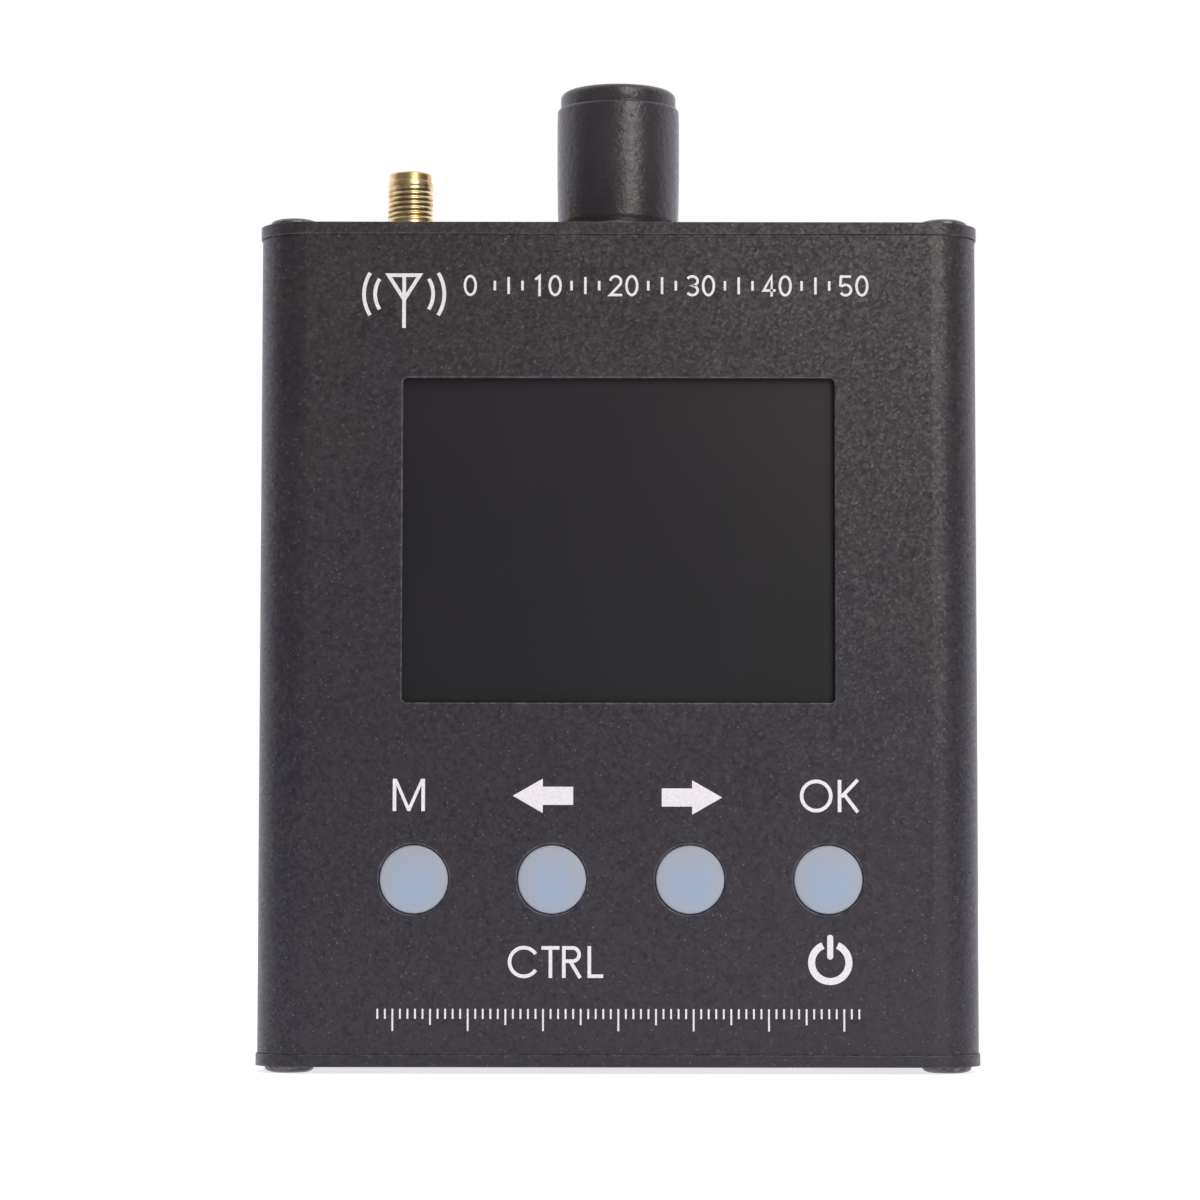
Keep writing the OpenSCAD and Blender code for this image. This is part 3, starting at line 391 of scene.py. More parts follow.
def black_oxide():
    material, tree, mm = begin("black_oxide_steel")
    stain = add(tree, "TexNoise", {"Vector": mm, "Scale": 1 / STAIN_MM, "Detail": 4.0})
    rounded, edge = worn_edge(tree, WORN_EDGE_MM, 4, 0.95, 0.75, 0.4)
    thin = add(tree, "MapRange", {"Value": stain.outputs["Fac"], "From Min": 0.38, "From Max": 0.62})
    oxide = add(tree, "Mix", {0: thin, 6: linear("#4c4b4d"), 7: linear("#757477")}, data_type="RGBA")
    colour = add(tree, "Mix", {0: edge, 6: oxide.outputs[2], 7: linear("#a5a4a2")}, data_type="RGBA")
    rough = add(tree, "MapRange", {
        "Value": stain.outputs["Fac"], "From Min": 0.3, "From Max": 0.7, "To Min": 0.3, "To Max": 0.48})
    end(tree, {"Base Color": colour.outputs[2], "Metallic": 0.9, "Roughness": rough, "Normal": rounded})
    return material


dress(black_oxide(), "top_plate_screws", "bottom_plate_screws")

# %% [markdown]
# ## The display window
#
# A flat pane of smoked acrylic, index 1.49, closes the window from inside. The display behind it is off, so
# the eye sees only a black sheet with a soft sheen, and the wall of the opening throws its shadow on it. The
# hard coat is nearly a mirror, blurred by a fine haze, and a few specks of dust lie on it. Its colour also
# carries painted light: it is lighter towards the top.

# %% Smoked acrylic
HAZE_MM = 16.0
SPECK_CELL_MM = 5.5


def smoked_acrylic():
    pane_low, pane_high = [v.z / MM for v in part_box("window_pane")]
    material, tree, mm = begin("smoked_acrylic")
    height = add(tree, "SeparateXYZ", {0: mm}).outputs["Z"]
    # painted light: the pane is lighter towards the top; the cloud is a random haze
    painted_lighter_top = add(tree, "MapRange", {
        "Value": height, "From Min": pane_low, "From Max": pane_high, "To Min": -0.3, "To Max": 0.5})
    cloud = add(tree, "TexNoise", {"Vector": mm, "Scale": 1 / HAZE_MM, "Detail": 2.0})
    haze_and_painted_light = add(tree, "Math", {0: painted_lighter_top, 1: cloud.outputs["Fac"]}, operation="ADD", use_clamp=True)
    body = add(tree, "Mix", {0: haze_and_painted_light, 6: linear("#09080c"), 7: linear("#171419")}, data_type="RGBA")
    dust = specks(tree, mm, SPECK_CELL_MM, 1, 0.72, 0.012, 0.03, 0.35)
    colour = add(tree, "Mix", {0: dust, 6: body.outputs[2], 7: linear("#9a9893")}, data_type="RGBA")
    end(tree, {"Base Color": colour.outputs[2], "Roughness": 0.33, "IOR": 1.49})
    return material


dress(smoked_acrylic(), "window_pane")

# %% [markdown]
# ## Key caps
#
# The four caps are moulded in a milky, grey-blue plastic. Light enters them and comes out a little away.
# Their rim is a painted highlight: paler and greyer than the middle, most of all at the top, where the light
# comes from. All caps share one material: the row has one pitch, so the distance from the nearest cap's blue
# heart, a little below its axis, is found by folding x back by whole pitches.

# %% Milky moulded plastic
HEART_DROP_MM = 0.7
HEART_R, PAINTED_RIM_R = 1.5, 4.5
MILK_MM, SKIN_MM = 2.5, 0.35


def key_plastic():
    first, second = [(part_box(n)[0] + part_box(n)[1]) / (2 * MM) for n in ("menu_button", "left_button")]
    pitch = second.x - first.x
    material, tree, mm = begin("milky_moulded_plastic")
    part = add(tree, "SeparateXYZ", {0: mm})
    along = add(tree, "Math", {0: part, 1: first.x}, operation="SUBTRACT")
    folded = add(tree, "Math", {0: along, 1: -pitch / 2, 2: pitch / 2}, operation="WRAP")
    up = add(tree, "Math", {0: part.outputs[2], 1: first.z - HEART_DROP_MM}, operation="SUBTRACT")
    flat = add(tree, "CombineXYZ", {0: folded, 1: up})
    radius = add(tree, "VectorMath", {0: flat}, operation="LENGTH")
    # painted highlight: the rim is paler and greyer than the heart, most at the top, towards the lamp
    rim = add(tree, "MapRange", {
        "Value": radius.outputs["Value"], "From Min": HEART_R, "From Max": PAINTED_RIM_R},
        interpolation_type="SMOOTHSTEP")
    cloud = add(tree, "TexNoise", {"Vector": mm, "Scale": 1 / MILK_MM, "Detail": 2.0})
    milk_and_painted_rim = add(tree, "Math", {0: cloud.outputs["Fac"], 1: 0.5, 2: rim}, operation="MULTIPLY_ADD")
    share = add(tree, "Math", {0: milk_and_painted_rim, 1: 0.66}, operation="MULTIPLY", use_clamp=True)
    colour = add(tree, "Mix", {0: share, 6: linear("#97a9c1"), 7: linear("#a3a7b1")}, data_type="RGBA")
    grain = add(tree, "TexNoise", {"Vector": mm, "Scale": 1 / SKIN_MM, "Detail": 2.0})
    rounded = add(tree, "Bevel", {"Radius": 0.5 * MM}, samples=6)
    bump = add(tree, "Bump", {
        "Height": grain.outputs["Fac"], "Strength": 0.15, "Distance": 0.02 * MM,
        "Normal": rounded})
    end(tree, {
        "Base Color": colour.outputs[2], "Roughness": 0.5, "IOR": 1.46, "Normal": bump,
        "Subsurface Weight": 0.25, "Subsurface Radius": (0.6, 0.8, 1.0), "Subsurface Scale": 1.2 * MM})
    print("key pitch", round(pitch, 2), "mm")
    return material


milky_plastic = key_plastic()
dress(milky_plastic, "menu_button", "left_button", "right_button", "ok_button")

# %% [markdown]
# ## White screen print
#
# The legends are screen printed with white ink, a film of a few hundredths of a millimetre on the blasted
# face. An image could be laid on, but a thin mesh stays sharp at any distance. Every sign is built from
# strokes of one width, so the first tool turns a line of points into a flat ribbon with mitred corners.
# Where two strokes cross, one lies a hair higher, because faces in one plane would flicker.

# %% Ribbons and prints
INK_MM = 0.03
OVERPRINT_MM = 0.002
SUNK_MM = 0.01
STROKE_MM = 0.48


def ribbon(points, width, closed=False):
    """Left and right side of a stroke of this width along the points."""
    sides = ([], [])
    count = len(points)
    for i, (x, z) in enumerate(points):
        before = points[i - 1] if i or closed else None
        after = points[(i + 1) % count] if i < count - 1 or closed else None
        normals = []
        for start, stop in ((before, (x, z)), ((x, z), after)):
            if start and stop:
                run = Vector((stop[0] - start[0], stop[1] - start[1])).normalized()
                normals.append(Vector((-run.y, run.x)))
        mitre = sum(normals, Vector((0, 0))).normalized()
        reach = width / 2 / max(mitre.dot(normals[0]), 0.4)
        sides[0].append((x + mitre.x * reach, z + mitre.y * reach))
        sides[1].append((x - mitre.x * reach, z - mitre.y * reach))
    return sides


def press_ribbon(mesh, points, width, closed=False, order=0):
    """Adds a stroke to the mesh as a closed film of ink on the front face."""
    left, right = ribbon(points, width, closed)
    film_y = face_y - INK_MM - order * OVERPRINT_MM
    rings = []
    for (lx, lz), (rx, rz) in zip(left, right):
        spots = [(lx, film_y, lz), (rx, film_y, rz),
                 (rx, face_y + SUNK_MM, rz), (lx, face_y + SUNK_MM, lz)]
        rings.append([mesh.verts.new(Vector(s) * MM) for s in spots])
    steps = len(rings) if closed else len(rings) - 1
    for i in range(steps):
        here, there = rings[i], rings[(i + 1) % len(rings)]
        for k in range(4):
            mesh.faces.new((here[k], there[k], there[(k + 1) % 4], here[(k + 1) % 4]))
    if not closed:
        mesh.faces.new(rings[0])
        mesh.faces.new(reversed(rings[-1]))


def press_shape(mesh, outline):
    """Adds a filled flat outline to the mesh as a closed film of ink."""
    front = [mesh.verts.new(Vector((x, face_y - INK_MM, z)) * MM) for x, z in outline]
    back = [mesh.verts.new(Vector((x, face_y + SUNK_MM, z)) * MM) for x, z in outline]
    mesh.faces.new(front)
    mesh.faces.new(reversed(back))
    for i in range(len(outline)):
        k = (i + 1) % len(outline)
        mesh.faces.new((front[k], front[i], back[i], back[k]))


def as_object(name, mesh, material):
    """Turns a mesh under construction into an object with this material."""
    bmesh.ops.recalc_face_normals(mesh, faces=mesh.faces)
    data = bpy.data.meshes.new(name)
    mesh.to_mesh(data)
    mesh.free()
    data.materials.append(material)
    piece = bpy.data.objects.new(name, data)
    scene.collection.objects.link(piece)
    return piece


print("ink", INK_MM, "mm thick on the plane y", round(face_y, 2), "mm")

# %% [markdown]
# Ink on a blasted face isn't quite even: pits show through as slightly greyer points. The ink itself is a
# matt white paint.

# %% White ink and print objects
INK_PIT_MM = 0.35


def screen_ink():
    material, tree, mm = begin("white_screen_ink")
    pits = add(tree, "TexNoise", {"Vector": mm, "Scale": 1 / INK_PIT_MM, "Detail": 2.0})
    thin = add(tree, "MapRange", {"Value": pits.outputs["Fac"], "From Min": 0.35, "From Max": 0.65})
    colour = add(tree, "Mix", {0: thin, 6: linear("#dcd9dd"), 7: linear("#e9e6ea")}, data_type="RGBA")
    bump = add(tree, "Bump", {"Height": pits.outputs["Fac"], "Strength": 0.2, "Distance": 0.02 * MM})
    end(tree, {"Base Color": colour.outputs[2], "Roughness": 0.6, "Normal": bump})
    return material


white_ink = screen_ink()
print("ink:", white_ink.name)


def print_sign(name, strokes=(), shapes=(), width=STROKE_MM, at=(0, 0)):
    """One printed sign: strokes are (points, closed) and shapes are outlines, in mm from its own corner."""
    mesh = bmesh.new()
    x0, z0 = at[0], shell_z + at[1]
    for order, (points, closed) in enumerate(strokes):
        press_ribbon(mesh, [(x + x0, z + z0) for x, z in points], width, closed, order % 4)
    for outline in shapes:
        press_shape(mesh, [(x + x0, z + z0) for x, z in outline])
    sign = as_object(name, mesh, white_ink)
    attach(sign, "case")
    print(name, "printed,", len(sign.data.polygons), "faces")


# %% [markdown]
# The key legends are plain function marks that any instrument has: a letter for the menu, two arrows, OK, a
# control mark and the standby symbol. Their letters are drawn with a compass and a ruler, round ones as
# true circles. A letter is a list of strokes in a box as high as the letter, and only the M, whose corners
# are sharp, is an outline.

# %% Letters
LETTER_H = 4.3


def arc(cx, cz, rx, rz, start, stop, steps=28):
    """Points along a stretch of an ellipse, in degrees from the right."""
    angles = [math.radians(start + (stop - start) * i / steps) for i in range(steps + 1)]
    return [(cx + rx * math.cos(a), cz + rz * math.sin(a)) for a in angles]


def ring(cx, cz, rx, rz):
    return arc(cx, cz, rx, rz, 0, 360)[:-1], True


def letter_m(h, s, w=4.3):
    """Outline of an M whose middle reaches the base line."""
    slant, half = s * 1.12, w / 2
    left = [(0, 0), (0, h), (slant, h), (half, slant * 1.25)]
    inner = [(half - s * 0.42, 0), (s, h - slant * 1.6), (s, 0)]
    return left + [(w - x, z) for x, z in left[2::-1]] + [(w - x, z) for x, z in reversed(inner)] + inner


def letter_k(h, s, w=2.9):
    return [([(s / 2, 0), (s / 2, h)], False), ([(w - s / 2, h), (s, h * 0.47)], False),
            ([(w - s / 2, 0), (s * 1.7, h * 0.56)], False)]


def letter_c(h, s):
    r = (h - s) / 2 + 0.03
    return [(arc(h / 2, h / 2, r, r, 34, 326), False)]


def letter_t(h, s, w=2.4):
    return [([(0, h - s / 2), (w, h - s / 2)], False), ([(w / 2, 0), (w / 2, h - s)], False)]


def letter_r(h, s, w=2.66):
    bowl = (h * 0.53 - s) / 2
    top, low = h - s / 2, h - s / 2 - 2 * bowl
    turn = w - s / 2 - bowl - 0.15
    return [([(s / 2, 0), (s / 2, top), (turn, top)] + arc(turn, (top + low) / 2, bowl, bowl, 85, -90, 18)
             + [(s, low)], False), ([(turn - 0.3, low), (w - s / 2, 0)], False)]


def letter_l(h, s, w=2.08):
    return [([(s / 2, h), (s / 2, s / 2), (w, s / 2)], False)]


def shifted(strokes, dx):
    return [([(x + dx, z) for x, z in points], closed) for points, closed in strokes]


# %% Key legends
MENU_AT, OK_AT, CONTROL_AT = (-30.1, 32.33), (24.18, 32.25), (-14.88, 10.21)
O_R, K_LEFT = 1.95, 5.05
CONTROL_H, CONTROL_LEFTS = 4.22, (0.2, 4.65, 7.39, 10.78)

print_sign("menu_legend", shapes=[letter_m(LETTER_H, STROKE_MM)], at=MENU_AT)
ok_strokes = [ring(2.17, LETTER_H / 2, O_R, O_R)] + shifted(letter_k(LETTER_H, STROKE_MM), K_LEFT)
print_sign("ok_legend", ok_strokes, at=OK_AT)
control_strokes = []
for letter, left in zip((letter_c, letter_t, letter_r, letter_l), CONTROL_LEFTS):
    control_strokes += shifted(letter(CONTROL_H, STROKE_MM), left)
print_sign("control_legend", control_strokes, at=CONTROL_AT)

# %% [markdown]
# The arrows are filled outlines, one the mirror image of the other. The standby symbol is a ring that is
# open at the top with an upright bar in the gap.

# %% Arrows and the standby symbol
ARROW_L, ARROW_HEAD_L, ARROW_HEAD_H, ARROW_SHAFT_H = 8.05, 4.0, 4.58, 2.42
STANDBY_R, STANDBY_STROKE, STANDBY_GAP = 2.48, 0.93, 23
STANDBY_BAR_R, STANDBY_BAR_LOW, STANDBY_BAR_TOP = 0.4, 0.82, 3.32
LEFT_ARROW_AT, RIGHT_ARROW_AT, STANDBY_AT = (-10.07, 34.38), (9.79, 34.18), (28.16, 12.26)


def arrow(side):
    """Arrow round its own middle, to the right for side 1 and to the left for side -1."""
    head, shaft, half = ARROW_HEAD_H / 2, ARROW_SHAFT_H / 2, ARROW_L / 2
    neck = half - ARROW_HEAD_L
    points = [(-half, -shaft), (neck, -shaft), (neck, -head), (half, 0),
              (neck, head), (neck, shaft), (-half, shaft)]
    return [(side * x, z) for x, z in points]


print_sign("left_arrow", shapes=[arrow(-1)], at=LEFT_ARROW_AT)
print_sign("right_arrow", shapes=[arrow(1)], at=RIGHT_ARROW_AT)
open_ring = arc(0, 0, STANDBY_R, STANDBY_R, 90 + STANDBY_GAP, 450 - STANDBY_GAP, 48)
bar = (arc(0, STANDBY_BAR_TOP, STANDBY_BAR_R, STANDBY_BAR_R, 0, 180, 10)
       + arc(0, STANDBY_BAR_LOW, STANDBY_BAR_R, STANDBY_BAR_R, 180, 360, 10))
print_sign("standby_symbol", [(open_ring, False)], [bar], STANDBY_STROKE, STANDBY_AT)

# %% [markdown]
# Above the window and along the lower edge the box carries plain, generic scales: numbers with ticks, an
# antenna sign as circuit diagrams use it, and a ruler with one tick per millimetre.

# %% Digits
SCALE_H, SCALE_STROKE = 2.88, 0.34
DIGIT_WIDTH = 0.62


def digit(n, h, s):
    """Strokes of a digit from 0 to 5 of this height."""
    w = DIGIT_WIDTH * h
    left, right, top, low, mid = s / 2, w - s / 2, h - s / 2, s / 2, h / 2
    half = (right - left) / 2
    bowl = (mid - low) / 2
    return {
        0: [ring(w / 2, mid, half, top - mid)],
        1: [([(w * 0.22, h * 0.78), (w * 0.55, top), (w * 0.55, 0)], False)],
        2: [(arc(w / 2, top - half, half, half, 170, -35, 16)
             + [(left, low), (right + s / 2, low)], False)],
        3: [(arc(w / 2, top - bowl, half, bowl, 150, -90, 16)
             + arc(w / 2, low + bowl, half, bowl, 90, -150, 16)[1:], False)],
        4: [([(w * 0.7, 0), (w * 0.7, top), (left, h * 0.28), (w, h * 0.28)], False)],
        5: [([(right, top), (left + s * 0.3, top), (left, h * 0.53)]
             + arc(w / 2, low + bowl * 1.12, half, bowl * 1.12, 128, -150, 18), False)],
    }[n]


# %% Number scale
SCALE_FROM, SCALE_TO, SCALE_Z = -20.0, 31.6, 101.53
SCALE_STEPS, DIGIT_GAP = 5, 0.4
SCALE_TICKS = ((0.32, 0.45), (0.5, 0.8), (0.68, 0.45))


def number_scale():
    """The numbers 0 to 50 with three ticks between each two."""
    strokes, gap = [], (SCALE_TO - SCALE_FROM) / SCALE_STEPS
    width = DIGIT_WIDTH * SCALE_H
    for i in range(SCALE_STEPS + 1):
        middle = SCALE_FROM + gap * i
        text = [i, 0] if i else [0]
        start = middle - (width * len(text) + DIGIT_GAP * (len(text) - 1)) / 2
        for k, n in enumerate(text):
            strokes += shifted(digit(n, SCALE_H, SCALE_STROKE), start + k * (width + DIGIT_GAP))
        for share, tall in SCALE_TICKS:
            if i < SCALE_STEPS:
                x = middle + gap * share
                strokes.append(([(x, SCALE_H * (1 - tall) / 2), (x, SCALE_H * (1 + tall) / 2)], False))
    return strokes


print_sign("number_scale", number_scale(), width=SCALE_STROKE, at=(0, SCALE_Z))

# %% [markdown]
# The ruler's ticks are long at every tenth millimetre, middling at every fifth and short between them. The
# antenna sign is an open triangle on a mast, with two waves on each side.

# %% Ruler and antenna sign
RULER_FROM, RULER_TO, RULER_Z, RULER_H, RULER_STROKE = -32, 32, 3.17, 2.95, 0.24
SIGN_AT, SIGN_H, SIGN_STROKE, WAVE_RADII = (-28.9, 97.2), 7.4, 0.5, (3.9, 5.4)


def ruler():
    strokes = []
    for x in range(RULER_FROM, RULER_TO + 1):
        share = 1.0 if x % 10 == 0 else 0.72 if x % 5 == 0 else 0.45
        strokes.append(([(x, RULER_H * (1 - share)), (x, RULER_H)], False))
    return strokes


def antenna_sign():
    top, tip = SIGN_H - 0.25, SIGN_H * 0.52
    strokes = [([(-2.1, top), (2.1, top), (0, tip)], True), ([(0, 0), (0, SIGN_H - 0.5)], False)]
    for reach in WAVE_RADII:
        for side in (0, 180):
            strokes.append((arc(0, SIGN_H * 0.62, reach, reach, side - 32, side + 32, 14), False))
    return strokes


print_sign("ruler_scale", ruler(), width=RULER_STROKE, at=(0, RULER_Z))
print_sign("antenna_sign", antenna_sign(), width=SIGN_STROKE, at=SIGN_AT)


# %% [markdown]
# ## Turned pieces
#
# Jacks and caps are turned on a lathe, and so are their meshes here: an outline of radius and height is
# spun round an upright axis. For a thread the radius also depends on the angle: a vee groove that climbs
# by one pitch per turn. The model only has rings, because its round walls have to stay exact, so the bodies
# of both jacks are made again with a true thread and stand in for them.

# %% Lathe
def turned(outline, centre, segments=96, groove=None):
    """Spins an outline of (radius, height) in mm round a centre, less groove(radius, height, angle)."""
    mesh = bmesh.new()
    rings = []
    for r, z in outline:
        if r < 1e-6:
            rings.append([mesh.verts.new(Vector((centre[0], centre[1], z)) * MM)])
            continue
        spots = []
        for i in range(segments):
            a = TURN * i / segments
            cut = r - (groove(r, z, a) if groove else 0)
            spot = Vector((centre[0] + cut * math.cos(a), centre[1] + cut * math.sin(a), z))
            spots.append(mesh.verts.new(spot * MM))
        rings.append(spots)
    closed = len(rings[0]) > 1
    for k in range(len(rings) if closed else len(rings) - 1):
        here, there = rings[k], rings[(k + 1) % len(rings)]
        for i in range(segments):
            j = (i + 1) % segments
            corners = [here[i % len(here)], here[j % len(here)],
                       there[j % len(there)], there[i % len(there)]]
            mesh.faces.new(list(dict.fromkeys(corners)))
    return mesh


def finish_piece(name, mesh, material, smooth_angle=35):
    """Makes an object of a turned mesh, with smooth round faces and sharp corners."""
    piece = as_object(name, mesh, material)
    piece.data.shade_smooth()
    piece.data.set_sharp_from_angle(angle=math.radians(smooth_angle))
    print(name, len(piece.data.polygons), "faces")
    return piece


def vee_thread(radius, depth, pitch, low, high):
    """Groove of a right-handed vee thread between two heights, with flat crests and soft ends."""
    def groove(r, z, angle):
        if abs(r - radius) > 1e-4 or not low < z < high:
            return 0.0
        phase = ((z - low) / pitch - angle / TURN) % 1.0
        wave = max(0.0, 1 - abs(phase - 0.5) / 0.38)
        fade = min(1.0, (z - low) / pitch, (high - z) / pitch)
        return depth * min(1.0, wave * 1.15) * fade
    return groove


print("lathe: outlines in mm, spun round an upright axis")

# %% [markdown]
# The key caps are drawn again on the same lathe. A moulded cap has draft: it widens towards its root, so
# that it leaves the mould. In the model it is straight, and the gap round it is a black line. With the
# draft the gap closes to 0.03 mm inside the wall, and the eye sees the cap's own milky side in it. The
# lathe's axis is upright, so each cap is tipped forward by a quarter turn.

# %% Key caps with draft
KEY_R, KEY_ROOT_R, KEY_EDGE_R, KEY_DRAFT_L = 4.56, 4.68, 0.22, 0.5
KEY_FLANGE_R, KEY_FLANGE_T, KEY_SOCKET_R, KEY_SOCKET_L = 5.6, 0.8, 2.75, 3.5


def key_cap(name, node, body):
    """A moulded key cap: flange behind the wall, drafted side, rounded edge and a socket for the plunger."""
    low, high = [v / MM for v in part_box(node)]
    thick = high.y - low.y
    outline = ([(0, KEY_SOCKET_L), (KEY_SOCKET_R, KEY_SOCKET_L), (KEY_SOCKET_R, 0), (KEY_FLANGE_R, 0),
                (KEY_FLANGE_R, KEY_FLANGE_T), (KEY_ROOT_R, KEY_FLANGE_T), (KEY_ROOT_R, thick - KEY_DRAFT_L)]
               + arc(KEY_R - KEY_EDGE_R, thick - KEY_EDGE_R, KEY_EDGE_R, KEY_EDGE_R, 0, 90, 6)
               + [(0, thick)])
    mesh = turned(outline, (0, 0), 96)
    rear = Matrix.Translation(Vector(((low.x + high.x) / 2, high.y, (low.z + high.z) / 2)) * MM)
    bmesh.ops.transform(mesh, matrix=rear @ Matrix.Rotation(TURN / 4, 4, "X"), verts=mesh.verts)
    cap = finish_piece(name, mesh, milky_plastic, 50)
    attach(cap, body)
    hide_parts(node)


for key in ("menu", "left", "right", "ok"):
    key_cap(key + "_cap", key + "_button", key + "_key")

# %% [markdown]
# ## Gold-plated brass
#
# The small jack is turned brass with a thin gold plating: a metal, so its colour is its reflection, pale
# yellow. It is fairly smooth, but fine turning marks run round it, drawn 0.15 mm apart, and handling has
# left it a little dull in random patches.

# %% Gold and nickel plating
FILM_MM = 1.4


def plated(name, bright, dull, roughness, mark_mm):
    """Plated turned metal with marks round its upright axis."""
    material, tree, mm = begin(name)
    stretched = add(tree, "Mapping", {"Vector": mm, "Scale": (0.15, 0.15, 1 / mark_mm)})
    marks = add(tree, "TexNoise", {"Vector": stretched, "Scale": 1.0, "Detail": 3.0})
    film = add(tree, "TexNoise", {"Vector": mm, "Scale": 1 / FILM_MM, "Detail": 3.0})
    tarnish = add(tree, "MapRange", {"Value": film.outputs["Fac"], "From Min": 0.35, "From Max": 0.7})
    colour = add(tree, "Mix", {0: tarnish, 6: linear(bright), 7: linear(dull)}, data_type="RGBA")
    rough = add(tree, "MapRange", {
        "Value": film.outputs["Fac"], "From Min": 0.3, "From Max": 0.7,
        "To Min": roughness * 0.8, "To Max": roughness * 1.3})
    bump = add(tree, "Bump", {"Height": marks.outputs["Fac"], "Strength": 0.12, "Distance": 0.01 * MM})
    end(tree, {"Base Color": colour.outputs[2], "Metallic": 1.0, "Roughness": rough, "Normal": bump})
    return material


gold_plate = plated("gold_plated_brass", "#e4cf9f", "#c4a268", 0.31, 0.15)
nickel_plate = plated("nickel_plated_brass", "#c9c4ba", "#a8a296", 0.22, 0.2)
dress(gold_plate, "sma_contact", "sma_nut", "sma_washer", "n_contact")
dress(nickel_plate, "n_washer", "n_nut")

# %% Small jack with a true thread
SMALL_R, SMALL_PITCH, SMALL_DEPTH = 3.175, 0.7056, 0.14
SMALL_BORE_R, SMALL_MOUTH_R, SMALL_RIM_R = 2.1, 2.3, 3.0
SMALL_NECK_R, SMALL_REAR_R = 2.98, 2.5
SMALL_RIM_H, SMALL_CONE_H = 1.15, 0.6
RINGS_PER_TURN = 9


def thread_line(radius, pitch, low, high):
    """Outline points of a threaded stretch, close enough together to carry the groove."""
    steps = math.ceil((high - low) / pitch * RINGS_PER_TURN)
    return [(radius, low + (high - low) * i / steps) for i in range(steps + 1)]


small_low, small_high = [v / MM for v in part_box("sma_body")]
small_axis = ((small_low.x + small_high.x) / 2, (small_low.y + small_high.y) / 2)
small_top = small_high.z
mouth_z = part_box("sma_dielectric")[1].z / MM
nut_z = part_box("sma_nut")[1].z / MM
plate_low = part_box("top_end_plate")[0].z / MM
rim_z = small_top - SMALL_RIM_H
thread_low, thread_high = nut_z + 0.25, rim_z - SMALL_CONE_H
small_outline = ([(SMALL_BORE_R, small_low.z), (SMALL_REAR_R, small_low.z),
                  (SMALL_REAR_R, plate_low - 1.0), (SMALL_NECK_R, plate_low - 1.0),
                  (SMALL_NECK_R, nut_z + 0.1)]
                 + thread_line(SMALL_R, SMALL_PITCH, thread_low, thread_high)
                 + [(SMALL_RIM_R + 0.03, rim_z), (SMALL_RIM_R - 0.04, rim_z + 0.06),
                    (SMALL_RIM_R - 0.04, small_top - 0.4)]
                 + arc(SMALL_RIM_R - 0.34, small_top - 0.3, 0.3, 0.3, 0, 90, 6)
                 + [(SMALL_MOUTH_R + 0.12, small_top), (SMALL_MOUTH_R, small_top - 0.12),
                    (SMALL_MOUTH_R, mouth_z), (SMALL_BORE_R, mouth_z)])
small_mesh = turned(small_outline, small_axis, 96,
                    vee_thread(SMALL_R, SMALL_DEPTH, SMALL_PITCH, thread_low, thread_high))
print("small thread from z", round(thread_low, 2), "to", round(thread_high, 2), "mm")


# %% Hexagon of the small jack
SMALL_FLATS, SMALL_HEXAGON_H = 8.0, 1.8


def add_hexagon(mesh, centre, flats, low, high, hole_r, turn):
    """Adds a hexagon prism with a round hole, in mm."""
    reach = flats / math.sqrt(3)
    angles = [TURN * i / 6 + turn for i in range(6)]
    corners = [(math.cos(a) * reach, math.sin(a) * reach) for a in angles]
    outer, inner = [], []
    for i in range(48):
        a = TURN * i / 48 + turn
        side = corners[i // 8], corners[(i // 8 + 1) % 6]
        share = (i % 8) / 8
        outer.append([side[0][k] + (side[1][k] - side[0][k]) * share for k in (0, 1)])
        inner.append([hole_r * math.cos(a), hole_r * math.sin(a)])
    rings = [[mesh.verts.new(Vector((centre[0] + x, centre[1] + y, z)) * MM) for x, y in line]
             for line, z in ((outer, low), (outer, high), (inner, high), (inner, low))]
    for k in range(4):
        here, there = rings[k], rings[(k + 1) % 4]
        for i in range(48):
            j = (i + 1) % 48
            mesh.faces.new((here[i], here[j], there[j], there[i]))


hexagon_z = plate_low - SMALL_HEXAGON_H
add_hexagon(small_mesh, small_axis, SMALL_FLATS, hexagon_z, plate_low, SMALL_NECK_R - 0.3, 0.0)
small_jack = finish_piece("small_jack", small_mesh, gold_plate)
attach(small_jack, "case")
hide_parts("sma_body")

# %% [markdown]
# The large jack is made the same way: a hexagon flange, a smooth neck, and the coarse thread. It comes to
# light when the dust cap is pulled off. Behind the plate a threaded shank takes the nut.

# %% Large jack with a true thread
LARGE_R, LARGE_PITCH, LARGE_DEPTH = 7.9375, 1.0583, 0.6
LARGE_NECK_R, LARGE_SHANK_R, LARGE_TAIL_R = 7.2, 7.7, 5.0
LARGE_BORE_R, LARGE_MOUTH_R = 3.55, 4.265
LARGE_FLATS, LARGE_FLANGE_H, LARGE_NECK_TOP, LARGE_SHANK_LOW = 17.5, 2.0, 5.0, -6.1

